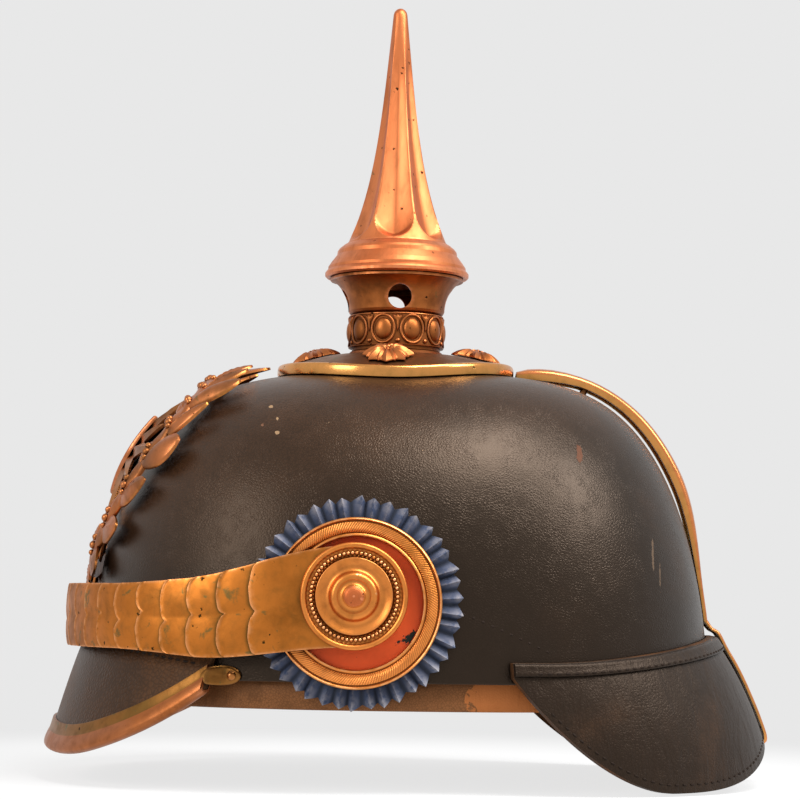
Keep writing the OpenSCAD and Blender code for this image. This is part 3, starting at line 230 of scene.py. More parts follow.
class PlateSizes(bpy.types.PropertyGroup):
    """Sizes of the front plate's wreath, star and shield."""
    foot_height: length("Foot height", "Height of the wreath's foot above the rim", 36)
    half_width: length("Half width", "Half the width of the wreath", 43)
    half_height: length("Half height", "Half the height of the wreath", 41)
    leaf_length: length("Leaf length", "Length of a wreath leaf", 17)
    leaf_width: length("Leaf width", "Width of a wreath leaf", 8.4)
    leaf_count: count("Leaves", "Leaves on each side", 8)
    sheet: length("Sheet", "Thickness of the sheet metal", 0.8)
    gap: length("Gap", "Skull to the wreath", 2.9)
    star_radius: length("Star radius", "Radius of the star's long points", 39)
    shield_half_width: length("Shield", "Half the width of the blank shield", 12)


class LiningSizes(bpy.types.PropertyGroup):
    """Sizes of the sweatband and the lining."""
    band_thickness: length("Band leather", "Thickness of the sweatband", 1.6)
    band_height: length("Band height", "Height of the sweatband above the rim", 34)
    band_drop: length("Band drop", "Depth of its fold below the rim", 9)
    cloth: length("Cloth", "Thickness of the lining", 0.8)
    gap: length("Gap", "Skull to the lining at the crown", 9)
    gathers: count("Gathers", "Number of gathers", 12)


class FinishColours(bpy.types.PropertyGroup):
    """Colours of the helmet's finishes."""
    copper: colour("Copper gilt", "Spike and its foot", (0.7, 0.222, 0.08))
    brown_gilt: colour("Brown gilt", "Neck and pearls, dulled brown", (0.43, 0.135, 0.035))
    brass: colour("Brass", "Sides of the spine and the polished ring", (0.7, 0.31, 0.088))
    gilt: colour("Scale gilt", "Chin scales and rosettes", (0.55, 0.185, 0.032))
    patina: colour("Patina", "Old brown on the front plate and base plate", (0.26, 0.1, 0.034))
    # Also the dark tone of the polished brass and, darker, of the chin scales, so it carries their
    # painted shade in hollows and corners and the painted shadow between scales
    verdigris: colour("Green stain", "Greenish stain in the gilt", (0.16, 0.115, 0.03))
    # Also the tone of the painted shade in the hollows and corners of most metal finishes
    tarnish: colour("Tarnish", "Darkest stain on the metal", (0.075, 0.026, 0.009))
    lacquer: colour("Lacquer", "Lacquered outside of skull, visor and guard", (0.0065, 0.0038, 0.0026))
    worn_lacquer: colour("Worn lacquer", "Lacquer where it has worn thin", (0.034, 0.016, 0.008))
    raw_leather: colour("Raw leather", "Cut edges and inner faces", (0.2, 0.078, 0.027))
    # Painted pool of light: the tan patch where the sweatband's leather is lit
    tan_leather: colour("Tan leather", "Bright patches of the sweatband", (0.62, 0.2, 0.055))
    blue: colour("Blue", "Pleated cockade disc", (0.05, 0.075, 0.15))
    red: colour("Red", "Painted cockade centre", (0.92, 0.115, 0.02))
    silk: colour("Silk", "Gathered lining", (0.42, 0.3, 0.18))
    thread: colour("Thread", "Waxed stitching", (0.012, 0.008, 0.006))


class StageSettings(bpy.types.PropertyGroup):
    """Camera and studio light."""
    distance: length("Distance", "Camera to the spike axis", 900)
    camera_y: length("Camera along", "Camera's place along the helmet", 1.758)
    camera_z: length("Camera height", "Camera's height above the rim", 26.66)
    lens: FloatProperty(name="Lens", description="Focal length in millimetres", default=112.5)
    pitch: angle("Pitch", "Upward tilt of the camera", 4.6)
    roll: angle("Roll", "Clockwise lean of the picture", 0.8)
    ground: length("Ground", "Depth of the ground below the rim", 36)
    background: colour("Background", "Pale studio grey", (0.807, 0.807, 0.807))
    top_watts: FloatProperty(name="Top light", description="Power of the light above", default=8.5)
    right_watts: FloatProperty(name="Right light", description="Power of the light to the right",
                               default=6.5)
    left_watts: FloatProperty(name="Left light", description="Power of the light to the left",
                              default=4.5)
    world: share("World", "Strength of the even light from all round", 0.42)


class HelmetSettings(bpy.types.PropertyGroup):
    """All the helmet's settings."""
    skull: PointerProperty(type=SkullSizes)
    visor: PointerProperty(type=VisorSizes)
    guard: PointerProperty(type=GuardSizes)
    spine: PointerProperty(type=SpineSizes)
    crown: PointerProperty(type=CrownSizes)
    spike: PointerProperty(type=SpikeSizes)
    cockade: PointerProperty(type=CockadeSizes)
    scales: PointerProperty(type=ScaleSizes)
    plate: PointerProperty(type=PlateSizes)
    lining: PointerProperty(type=LiningSizes)
    colours: PointerProperty(type=FinishColours)
    stage: PointerProperty(type=StageSettings)


def own_props(group):
    """The properties that a group declares itself."""
    return [p for p in group.bl_rna.properties if p.identifier not in ("rna_type", "name")]


def sizes(group):
    """A group's values as plain numbers, lengths in millimetres and angles in degrees."""
    values = {}
    for prop in own_props(group):
        value = getattr(group, prop.identifier)
        unit_kind = getattr(prop, "unit", "")
        if unit_kind == "LENGTH":
            value *= 1000
        elif unit_kind == "ROTATION":
            value = math.degrees(value)
        values[prop.identifier] = value
    return SimpleNamespace(**values)


def sin(a):
    return math.sin(math.radians(a))


def cos(a):
    return math.cos(math.radians(a))


def mix(u, v, k):
    return u + (v - u) * k


def ease(k):
    k = min(max(k, 0), 1)
    return k * k * (3 - 2 * k)


def unit(v):
    return np.asarray(v, float) / np.linalg.norm(v)


def polar(a, r, z):
    return np.array([r * cos(a), r * sin(a), z])


def spread(first, last, steps):
    """steps + 1 even values from first to last."""
    return [mix(first, last, i / steps) for i in range(steps + 1)]


# Azimuths once round the helmet, 1.5 degrees apart
ROUND = spread(0, 358.5, 239)


class Form:
    """The helmet's surfaces in millimetres, as the construction has them."""

    def __init__(self):
        settings = bpy.context.scene.helmet
        for name in ("skull", "visor", "guard", "spine", "crown", "spike", "cockade", "scales",
                     "plate", "lining"):
            setattr(self, name, sizes(getattr(settings, name)))
        to_disc, to_ring, to_root = COCKADE_STEPS
        self.base_top = self.skull.height + self.crown.rise
        self.shaft_z = self.base_top + self.spike.neck_height + SEAT + self.spike.foot_height
        self.disc_x = self.skull.half_width + to_disc
        self.ring_x = self.disc_x + to_ring
        self.root_x = self.ring_x + to_root
        self.rosette_x = self.root_x + self.scales.thickness + 0.4
        self.measure_loop()
        self.measure_plate()

    # Skull
    def oval_r(self, a, g=0.0):
        long_r = self.skull.front if sin(a) < 0 else self.skull.rear
        return (abs(cos(a) / (self.skull.half_width + g)) ** OVAL_N
                + abs(sin(a) / (long_r + g)) ** OVAL_N) ** (-1 / OVAL_N)

    def exponents(self, a):
        end = FRONT_PQ if sin(a) < 0 else REAR_PQ
        k = sin(a) ** 2
        return mix(SIDE_PQ[0], end[0], k), mix(SIDE_PQ[1], end[1], k)

    def wall_r(self, a, z, g=0.0):
        p, q = self.exponents(a)
        rise = min(max(z, 0) / (self.skull.height + g), 1)
        return self.oval_r(a, g) * (1 - rise ** q) ** (1 / p)

    def crown_z(self, a, r, g=0.0):
        p, q = self.exponents(a)
        return (self.skull.height + g) * (1 - (r / self.oval_r(a, g)) ** p) ** (1 / q)

    def skull_pt(self, a, t, g=0.0):
        p, q = self.exponents(a)
        return polar(a, self.oval_r(a, g) * max(cos(t), 0) ** (2 / p),
                     (self.skull.height + g) * max(sin(t), 0) ** (2 / q))

    def wall_pt(self, a, z, g=0.0):
        return polar(a, self.wall_r(a, z, g), z)

    def wall_out(self, a, z):
        return unit(np.cross(self.wall_pt(a + 0.5, z) - self.wall_pt(a - 0.5, z),
                             self.wall_pt(a, z + 1) - self.wall_pt(a, z)))

    # Visor
    def visor_top(self, u):
        return mix(self.visor.seam_height, self.visor.seam_height * 0.5, u * u)

    def visor_edge(self, u):
        v, k = self.visor, 0.83 * abs(u) ** 3.2
        return (v.seam_height - v.depth * (1 - k) - 12.5 * k
                + v.bow * max(0, 1 - u * u / 0.34) ** 2)

    def visor_g(self, u, z):
        return SEAT + self.visor.flare * (max(self.visor_top(u) - z, 0) / self.visor.depth) ** 0.87

    def visor_pt(self, u, z, g):
        return self.wall_pt(-90 + self.visor.half_arc * u, z, self.visor_g(u, z) + g)

    # Neck guard
    def guard_top(self, v):
        return mix(self.guard.seam_height, self.guard.seam_height * 0.45, ease(abs(v) * 1.1))

    def guard_edge(self, v):
        w, corner = abs(v), 0.58
        if w < corner:
            return -self.guard.drop + self.guard.arch * cos(w / corner * 90) ** 3
        return mix(-self.guard.drop, self.guard_top(1) - 5, ((w - corner) / (1 - corner)) ** 1.7)

    def guard_pt(self, v, z, g):
        a = 90 - self.guard.half_arc * v
        drop = self.guard_top(v) - z
        slope = mix(self.guard.side_slope, self.guard.slope, sin(a) ** 2)
        return self.wall_pt(a, z, SEAT + drop * slope - 0.0045 * drop * drop + g)

    # Base plate
    def ring_foot(self, a):
        return self.crown_z(a, self.crown.base_radius - self.crown.sheet) + SEAT

    def dome_z(self, a, r):
        ring_in = self.crown.base_radius - self.crown.ring_width
        edge = self.ring_foot(a) + self.crown.ring_height - 0.9
        k = (ring_in - r) / (ring_in - self.spike.neck_radius - 1.4)
        return mix(edge, self.base_top, sin(90 * min(1, max(0, k))))

    # Chin scales
    def loop_at(self, q):
        return np.array([self.root_x * max(cos(q), 0) ** (2 / LOOP_N),
                         -self.cockade.post_forward
                         - self.loop_y * max(sin(q), 0) ** (2 / LOOP_N)])

    def measure_loop(self):
        self.loop_y = self.skull.front + self.scales.loop_gap - self.cockade.post_forward
        self.loop_qs = np.linspace(0, 90, 91)
        self.loop_s = run_lengths([self.loop_at(q) for q in self.loop_qs])
        self.loop_length = float(self.loop_s[-1])
        self.root_s = ROOT_LENGTH
        self.scale_pitch = (self.loop_length - 9 - self.root_s) / self.scales.scale_count

    def loop_pt(self, s, v, g, half):
        q = float(np.interp(s, self.loop_s, self.loop_qs))
        p = self.loop_at(q)
        d = unit(self.loop_at(min(q + 0.5, 90)) - self.loop_at(max(q - 0.5, 0)))
        middle = mix(self.cockade.post_height, self.scales.front_middle, ease(s / 56))
        return np.array([p[0] - d[1] * g, p[1] + d[0] * g, middle + v * half])

    def scale_half(self, s):
        return mix(self.scales.root_height, self.scales.front_height, ease(s / 92)) / 2

    def right_pt(self, d, v, g):
        """A point d past the loop's middle, on the right half."""
        p = self.loop_pt(self.loop_length - d, v, g, self.scales.strap_height / 2)
        return p * (-1, 1, 1)

    # Front plate
    def measure_plate(self):
        q = FRONT_PQ[1]
        self.plate_turn = math.degrees(
            math.asin((self.plate.foot_height / self.skull.height) ** (q / 2)))
        turns = np.arange(self.plate_turn, 73.0001)
        steps = [np.linalg.norm(self.skull_pt(-90, t + 1) - self.skull_pt(-90, t)) for t in turns]
        self.plate_per_degree = sum(steps) / len(steps)

    def plate_pt(self, x, w, g):
        t = self.plate_turn + w / self.plate_per_degree
        r = abs(self.skull_pt(-90, t)[1])
        return self.skull_pt(-90 + math.degrees(x / r), t, g)


def sheet(outer, inner, closed=False):
    """A solid sheet between two grids of points: vertices, faces and each face's side."""
    n, k = len(outer), len(outer[0])
    m = 2 * k
    verts = [p for i in range(n) for p in list(outer[i]) + list(inner[i])[::-1]]
    faces, sides = [], []
    for i in range(n if closed else n - 1):
        a, b = i * m, (i + 1) % n * m
        for j in range(m):
            faces.append((a + j, a + (j + 1) % m, b + (j + 1) % m, b + j))
            sides.append(0 if j < k - 1 else 2 if k <= j < m - 1 else 1)
    if not closed:
        for e in (0, (n - 1) * m):
            for j in range(k - 1):
                faces.append((e + j, e + j + 1, e + m - 2 - j, e + m - 1 - j))
                sides.append(1)
    return verts, faces, sides


def shell(spot, us, vs, outer, inner=0, closed=False):
    """A sheet over spot(u, v, g), from g = inner to g = outer."""
    return sheet([[spot(u, v, outer) for v in vs] for u in us],
                 [[spot(u, v, inner) for v in vs] for u in us], closed)


def skin(rings, first=None, last=None, joined=False):
    """A skin over closed rings, shut to a point at either end, or joined end to end."""
    n, total = len(rings[0]), len(rings)
    verts = [p for ring in rings for p in ring]
    faces = []
    for i in range(total if joined else total - 1):
        a, b = i * n, (i + 1) % total * n
        faces += [(a + j, a + (j + 1) % n, b + (j + 1) % n, b + j) for j in range(n)]
    if first is not None:
        verts.append(first)
        faces += [(len(verts) - 1, (j + 1) % n, j) for j in range(n)]
    if last is not None:
        verts.append(last)
        a = (total - 1) * n
        faces += [(len(verts) - 1, a + j, a + (j + 1) % n) for j in range(n)]
    return verts, faces


def turned(profile, place, steps=128):
    """A closed profile of (radius, height) turned round an axis; place puts (x, y, h) there."""
    rings = [[place(r * cos(360 * i / steps), r * sin(360 * i / steps), h) for r, h in profile]
             for i in range(steps)]
    return skin(rings, joined=True)


def axes_at(out, along=(0, 0, 1)):
    """Three square directions, the last one out."""
    out = unit(out)
    side = np.cross(along, out)
    if np.linalg.norm(side) < 1e-6:
        side = np.cross((1, 0, 0), out)
    side = unit(side)
    return side, np.cross(out, side), out


def ball(p, radii, out=(0, 0, 1), along=(0, 0, 1), rows=6, columns=12):
    """A ball or, with three radii, an ellipsoid, at p with its third radius along out."""
    e1, e2, e3 = axes_at(out, along)
    rx, ry, rz = radii if hasattr(radii, "__len__") else (radii,) * 3
    rings = [[p + e1 * rx * sin(t) * cos(a) + e2 * ry * sin(t) * sin(a) + e3 * rz * cos(t)
              for a in (360 * j / columns for j in range(columns))]
             for t in (180 * i / rows for i in range(1, rows))]
    return skin(rings, p + e3 * rz, p - e3 * rz)


def smooth_line(points, steps):
    """More points on a smooth curve through the given ones."""
    pts = [2 * np.asarray(points[0]) - points[1], *points, 2 * np.asarray(points[-1]) - points[-2]]
    line = []
    for a, b, c, d in zip(pts, pts[1:], pts[2:], pts[3:]):
        a, b, c, d = (np.asarray(p, float) for p in (a, b, c, d))
        for i in range(steps):
            t = i / steps
            line.append(0.5 * (2 * b + (c - a) * t + (2 * a - 5 * b + 4 * c - d) * t * t
                               + (3 * b - a - 3 * c + d) * t ** 3))
    line.append(np.asarray(points[-1], float))
    return line


class Piece:
    """Collects parts in millimetres and turns them into one object."""

    def __init__(self):
        self.verts, self.faces, self.mats, self.marks = [], [], [], {}

    def add(self, part, mats=0, **marks):
        """mats is a number, or one for each side of a sheet; marks are rows for its outer face."""
        verts, faces = part[0], part[1]
        base = len(self.verts)
        self.verts += [tuple(v) for v in verts]
        self.faces += [tuple(base + i for i in f) for f in faces]
        if isinstance(mats, int):
            self.mats += [mats] * len(faces)
        else:
            self.mats += [mats[side] for side in part[2]]
        for name, rows in marks.items():
            held = self.marks.setdefault(name, [])
            held += [0.0] * (base - len(held))
            for row in rows:
                held += row + [0.0] * len(row)
        return self

    def mirrored(self):
        """Adds the same parts again on the other side."""
        base = len(self.verts)
        self.faces += [tuple(base + i for i in reversed(f)) for f in self.faces]
        self.verts += [(-x, y, z) for x, y, z in self.verts]
        self.mats += list(self.mats)
        return self

    def build(self, name, finishes, body="helmet", node=None, slot=None, bevel=0.0, limit=38,
              crisp=None, flip=False):
        """Makes the object in metres, with one finish or several, on its body."""
        mesh = bpy.data.meshes.new(name)
        side = -1 if flip else 1
        mesh.from_pydata([(side * x / 1000, y / 1000, z / 1000) for x, y, z in self.verts], [],
                         self.faces)
        mesh.polygons.foreach_set("material_index", self.mats)
        for mark, values in self.marks.items():
            held = values + [0.0] * (len(self.verts) - len(values))
            layer = mesh.attributes.new(mark, "FLOAT", "POINT")
            layer.data.foreach_set("value", np.array(held, np.float32))
        bm = bmesh.new()
        bm.from_mesh(mesh)
        bmesh.ops.recalc_face_normals(bm, faces=bm.faces)
        bm.to_mesh(mesh)
        bm.free()
        mesh.shade_smooth()
        if crisp:
            mesh.set_sharp_from_angle(angle=math.radians(crisp))
        obj = bpy.data.objects.new(name, mesh)
        bpy.context.scene.collection.objects.link(obj)
        for label in [finishes] if isinstance(finishes, str) else finishes:
            mesh.materials.append(bpy.data.materials[label])
        if bevel:
            mod = obj.modifiers.new("Rounded edges", "BEVEL")
            mod.width = bevel / 1000
            mod.segments = 2
            mod.limit_method = "ANGLE"
            mod.angle_limit = math.radians(limit)
            obj.modifiers.new("Even shading", "WEIGHTED_NORMAL")
        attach(obj, body)
        if node:
            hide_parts(node)
        return obj


class Nodes:
    """Short ways to place and join nodes in one tree."""

    def __init__(self, tree):
        self.tree = tree

    def add(self, kind, ins=None, **props):
        node = self.tree.nodes.new("ShaderNode" + kind)
        for key, value in props.items():
            setattr(node, key, value)
        for key, value in (ins or {}).items():
            socket = node.inputs[key]
            if isinstance(value, bpy.types.NodeSocket):
                self.tree.links.new(value, socket)
            elif socket.type == "RGBA" and len(value) == 3:
                socket.default_value = (*value, 1)
            else:
                socket.default_value = value
        return node

    def math(self, operation, a, b=0.0, clamp=False):
        return self.add("Math", {0: a, 1: b}, operation=operation, use_clamp=clamp).outputs[0]

    def times(self, a, b):
        return self.math("MULTIPLY", a, b)

    def plus(self, a, b):
        return self.math("ADD", a, b)

    def minus(self, a, b):
        return self.math("SUBTRACT", a, b)

    def reach(self, a, b):
        """Length of the vector (a, b)."""
        return self.math("SQRT", self.plus(self.times(a, a), self.times(b, b)))

    def mixed(self, factor, a, b):
        return self.add("Mix", {0: factor, 6: a, 7: b}, data_type="RGBA").outputs[2]

    def blend(self, factor, a, b):
        return self.add("Mix", {0: factor, 2: a, 3: b}, data_type="FLOAT").outputs[0]

    def ramp(self, value, low, high, to_low=0.0, to_high=1.0):
        return self.add("MapRange", {0: value, 1: low, 2: high, 3: to_low, 4: to_high},
                        interpolation_type="SMOOTHSTEP").outputs[0]

    def noise(self, vector, scale, detail=3.0, rough=0.55, distort=0.0):
        return self.add("TexNoise", {"Vector": vector, "Scale": scale, "Detail": detail,
                                     "Roughness": rough, "Distortion": distort}).outputs[0]

    def stretched(self, vector, scale):
        return self.add("Mapping", {"Vector": vector, "Scale": scale}).outputs[0]

    def shaken(self, vector, scale, detail, far):
        """The vector shifted by noise, up to far, so that cells lose their straight edges."""
        noise = self.add("TexNoise", {"Vector": vector, "Scale": scale, "Detail": detail})
        shift = self.add("VectorMath", {0: noise.outputs["Color"], 1: (far, far, far)},
                         operation="MULTIPLY").outputs[0]
        return self.add("VectorMath", {0: vector, 1: shift}).outputs[0]

    def effect(self, name, where, **ins):
        """The output of one of the shared effects."""
        return self.add("Group", {"Vector": where, **ins},
                        node_tree=bpy.data.node_groups[name]).outputs[0]

    def seen(self):
        """1 for rays from the camera and in its reflections, 0 for those that light the helmet."""
        rays = self.add("LightPath").outputs
        return self.math("MAXIMUM", self.math("MAXIMUM", rays["Is Camera Ray"],
                                              rays["Is Glossy Ray"]),
                         rays["Is Transmission Ray"])


def new_group(name, output, **defaults):
    """A node group for one effect: its nodes, its place, its inputs and a way to its output."""
    tree = bpy.data.node_groups.new(name, "ShaderNodeTree")
    face = tree.interface
    face.new_socket(name="Vector", in_out="INPUT", socket_type="NodeSocketVector")
    for label, value in defaults.items():
        socket = face.new_socket(name=label, in_out="INPUT", socket_type="NodeSocketFloat")
        socket.default_value = value
    face.new_socket(name=output, in_out="OUTPUT", socket_type="NodeSocketFloat")
    given = tree.nodes.new("NodeGroupInput").outputs
    end = tree.nodes.new("NodeGroupOutput").inputs[0]
    return Nodes(tree), given["Vector"], given, lambda value: tree.links.new(value, end)


def make_groups():
    """The effects that several finishes share."""
    n, at, given, put = new_group("Leather grain", "Height", Scale=900.0)
    cells = n.add("TexVoronoi", {"Vector": at, "Scale": given["Scale"], "Randomness": 1.0},
                  feature="DISTANCE_TO_EDGE").outputs[0]
    pebble = n.times(n.ramp(cells, 0.0, 0.28), n.ramp(n.noise(at, 160, 2), 0.3, 0.7, 0.35, 1.0))
    fine = n.noise(at, n.times(given["Scale"], 2.3), 3)
    put(n.plus(pebble, n.times(fine, 0.35)))

    n, at, given, put = new_group("Stain", "Mask", Scale=40.0, Low=0.45, High=0.65)
    put(n.ramp(n.noise(at, given["Scale"], 6, 0.6, 0.4), given["Low"], given["High"]))

    n, at, given, put = new_group("Pits", "Mask", Scale=300.0, Size=0.16, Amount=0.5)
    cells = n.add("TexVoronoi", {"Vector": n.shaken(at, 1500.0, 3.0, 0.0016),
                                 "Scale": given["Scale"], "Randomness": 1.0}).outputs
    chosen = n.add("SeparateColor", {0: cells["Color"]}).outputs
    size = n.times(given["Size"], n.ramp(chosen[1], 0.0, 1.0, 0.25, 1.0))
    spot = n.ramp(cells["Distance"], n.times(size, 0.5), size, 1.0, 0.0)
    put(n.times(spot, n.math("LESS_THAN", chosen[0], given["Amount"])))

    n, at, given, put = new_group("Scratches", "Mask", Scale=30.0, Amount=0.5)
    way = n.stretched(n.shaken(at, 25.0, 1.0, 0.03), (1.0, 3.2, 0.55))
    lines = n.add("TexVoronoi", {"Vector": way, "Scale": given["Scale"]},
                  feature="DISTANCE_TO_EDGE").outputs[0]
    patchy = n.ramp(n.noise(at, 34, 2), n.minus(0.95, given["Amount"]), 0.95)
    put(n.times(n.ramp(lines, 0.0, 0.014, 1.0, 0.0), patchy))

    n, at, given, put = new_group("Edge wear", "Mask", Low=0.52, High=0.6)
    rubbed = n.ramp(n.add("NewGeometry").outputs["Pointiness"], given["Low"], given["High"])
    marked = n.add("Attribute", attribute_name="wear").outputs["Fac"]
    rough = n.ramp(n.noise(at, 420, 4), 0.3, 0.62)
    put(n.math("MULTIPLY", n.math("MAXIMUM", rubbed, marked), rough, clamp=True))

    # Darkens concave hollows (pointiness) and faces marked deep: grime, and painted shade such as one
    # scale's shadow on the next and the shade in pleat valleys
    n, at, given, put = new_group("Grime", "Mask", Low=0.48, High=0.4)
    hollow = n.ramp(n.add("NewGeometry").outputs["Pointiness"], given["High"], given["Low"],
                    1.0, 0.0)
    marked = n.add("Attribute", attribute_name="deep").outputs["Fac"]
    put(n.math("MAXIMUM", hollow, marked, clamp=True))

    # Ambient occlusion as a mask: painted shade in corners, under parts and between them, with some
    # dirt; patchy noise breaks it up
    n, at, given, put = new_group("Dirt in corners", "Mask", Reach=0.006)
    near = n.add("AmbientOcclusion", {"Distance": given["Reach"]}, samples=6)
    patchy = n.ramp(n.noise(at, 300, 3), 0.2, 0.7, 0.75, 1.0)
    put(n.times(n.ramp(near.outputs["AO"], 0.25, 0.95, 1.0, 0.0), patchy))

    n, at, given, put = new_group("Engraved hatch", "Height", Lines=190.0, Lean=5200.0,
                                  Along=0.0, Up=0.0)
    part = n.add("SeparateXYZ", {0: at}).outputs
    y, z = n.minus(part[1], given["Along"]), n.minus(part[2], given["Up"])
    wave = n.math("SINE", n.plus(n.times(n.math("ARCTAN2", z, y), given["Lines"]),
                                 n.times(n.reach(y, z), given["Lean"])))
    put(n.plus(n.times(wave, 0.5), 0.5))


def principled(name, **plain):
    """A new material: its nodes, its Principled shader and its object coordinates."""
    material = bpy.data.materials.new(name)
    material.use_nodes = True
    nodes = Nodes(material.node_tree)
    shader = material.node_tree.nodes["Principled BSDF"]
    for key, value in plain.items():
        shader.inputs[key.replace("_", " ")].default_value = value
    return nodes, shader, nodes.add("TexCoord").outputs["Object"]


def link(nodes, shader, colour_out, rough_out, bumps):
    """Joins colour, roughness and a chain of (height, distance in millimetres) bumps."""
    tree = nodes.tree
    tree.links.new(colour_out, shader.inputs["Base Color"])
    tree.links.new(rough_out, shader.inputs["Roughness"])
    normal = None
    for height, mm in bumps:
        ins = {"Height": height, "Distance": mm / 1000, "Strength": 1.0}
        if normal is not None:
            ins["Normal"] = normal
        normal = nodes.add("Bump", ins).outputs[0]
    if normal is not None:
        tree.links.new(normal, shader.inputs["Normal"])


def shade(tone, k):
    return tuple(min(c * k, 1) for c in tone)


def leather(name, base, worn, raw=None, grain=850.0, depth=0.05, rough=(0.34, 0.46),
            stain=(22.0, 0.42, 0.7), wrinkle=0.0, specks=0.0, scratches=0.0, shine=0.32, marks=(),
            painted_sheen=None):
    """Lacquered or plain leather: pebbled grain, worn clouds, wrinkles, scratches and marks, with
    painted shade in corners and, where given, a painted sheen towards the top.
    """
    n, shader, where = principled(name, Metallic=0.0, Specular_IOR_Level=shine)
    shader.inputs["Specular Tint"].default_value = (1, 0.72, 0.52, 1)
    grainy = n.effect("Leather grain", where, Scale=grain)
    cloud = n.effect("Stain", where, Scale=stain[0], Low=stain[1], High=stain[2])
    edge = n.effect("Edge wear", where, Low=0.55, High=0.68)
    tone = n.mixed(cloud, base, worn)
    part = n.add("SeparateXYZ", {0: where}).outputs
    # Painted sheen: a lighter warm brown towards the top and the front, where the leather catches a
    # warm reflection
    if painted_sheen is not None:
        high = n.minus(part[2], n.times(part[1], 0.35))
        patchy = n.ramp(n.noise(where, 16, 4), 0.3, 0.62, 0.45, 1.0)
        tone = n.mixed(n.times(n.ramp(high, 0.045, 0.115, 0.0, 0.9), patchy), tone, painted_sheen)
    tone = n.mixed(n.ramp(grainy, 0.1, 0.55, 0.55, 0.0), tone, shade(base, 0.35))
    tone = n.mixed(n.times(edge, 0.8), tone, raw or worn)
    # Painted shade: the leather darkens where corners and neighbouring parts are near
    corner = n.effect("Dirt in corners", where, Reach=0.008)
    tone = n.mixed(n.times(corner, 0.8), tone, shade(base, 0.3))
    rough_out = n.blend(cloud, *rough)
    bumps = [(n.noise(where, 55, 2), 0.22), (grainy, depth)]
    if wrinkle:
        folds = n.noise(n.stretched(where, (1.0, 1.0, 0.28)), 130, 4, 0.6, 1.2)
        bumps.insert(1, (n.ramp(folds, 0.3, 0.7), wrinkle))
    if scratches:
        mask = n.effect("Scratches", where, Scale=26.0, Amount=scratches)
        tone = n.mixed(n.times(mask, 0.45), tone, shade(worn, 3))
        bumps.append((mask, -0.04))
    if specks:
        dust = n.effect("Pits", where, Scale=240.0, Size=0.16, Amount=specks)
        tone = n.mixed(n.times(dust, 0.85), tone, DUST)
        rough_out = n.plus(rough_out, n.times(dust, 0.3))
    for y, z, wide, high, least, tint in marks:
        away = n.reach(n.math("DIVIDE", n.minus(part[1], y / 1000), wide / 1000),
                       n.math("DIVIDE", n.minus(part[2], z / 1000), high / 1000))
        near = n.ramp(away, 0.2, 1.0, 0.3, 0.0)
        lost = n.ramp(n.plus(n.noise(where, 330, 5, 0.7), near), least, least + 0.04)
        lost = n.times(n.times(lost, n.math("LESS_THAN", away, 1.0)),
                       n.math("GREATER_THAN", part[0], 0.0))
        tone = n.mixed(n.times(lost, 0.8), tone, tint)
        rough_out = n.plus(rough_out, n.times(lost, 0.2))
        bumps.append((lost, -0.05))
    link(n, shader, tone, rough_out, bumps)


def metal(name, base, stain, dark, rough=(0.25, 0.42), cloud=(38.0, 0.5, 0.72), pits=0.12,
          pit_scale=420.0, dents=0.06, bright=None, wear=(0.52, 0.6), hatch=None, streak=0.0,
          green=None, reach=0.005):
    """Old gilt metal: stains, pits, rubbed edges, grime and painted shade in the hollows and corners,
    and small dents.
    """
    n, shader, where = principled(name, Metallic=1.0)
    bright = bright or tuple(min(c * 1.15 + 0.04, 1) for c in base)
    way = n.stretched(where, (1.0, 1.0, 1.0 / (1.0 + streak))) if streak else where
    mask = n.effect("Stain", way, Scale=cloud[0], Low=cloud[1], High=cloud[2])
    fine = n.effect("Stain", way, Scale=260.0, Low=0.42, High=0.78)
    holes = n.effect("Pits", where, Scale=pit_scale, Size=0.3, Amount=pits)
    rubbed = n.effect("Edge wear", where, Low=wear[0], High=wear[1])
    hollow = n.effect("Grime", where, Low=0.49, High=0.43)
    tone = n.mixed(mask, base, stain)
    tone = n.mixed(n.times(fine, 0.35), tone, dark)
    if green is not None:
        moss = n.effect("Stain", where, Scale=150.0, Low=green, High=green + 0.08)
        tone = n.mixed(n.times(moss, 0.7), tone, GREEN)
    tone = n.mixed(rubbed, tone, bright)
    # Grime and painted shade: hollows and faces marked deep darken towards the dark tone
    tone = n.mixed(n.times(hollow, 0.75), tone, dark)
    tone = n.mixed(holes, tone, shade(dark, 0.35))
    # Painted shade: darker where corners and neighbouring parts are near
    corner = n.effect("Dirt in corners", where, Reach=reach)
    tone = n.mixed(n.times(corner, 0.85), tone, dark)
    rough_out = n.plus(n.blend(mask, *rough), n.times(fine, 0.08))
    rough_out = n.minus(rough_out, n.times(rubbed, 0.08))
    rough_out = n.plus(rough_out, n.times(n.math("MAXIMUM", hollow, holes), 0.25))
    bumps = [(n.noise(where, 90, 2), dents), (n.noise(where, 900, 3), 0.008), (holes, -0.05)]
    if hatch:
        lines = n.effect("Engraved hatch", where, Along=hatch[0], Up=hatch[1])
        tone = n.mixed(n.ramp(lines, 0.0, 0.5, 0.45, 0.0), tone, dark)
        bumps.append((lines, 0.1))
    link(n, shader, tone, rough_out, bumps)


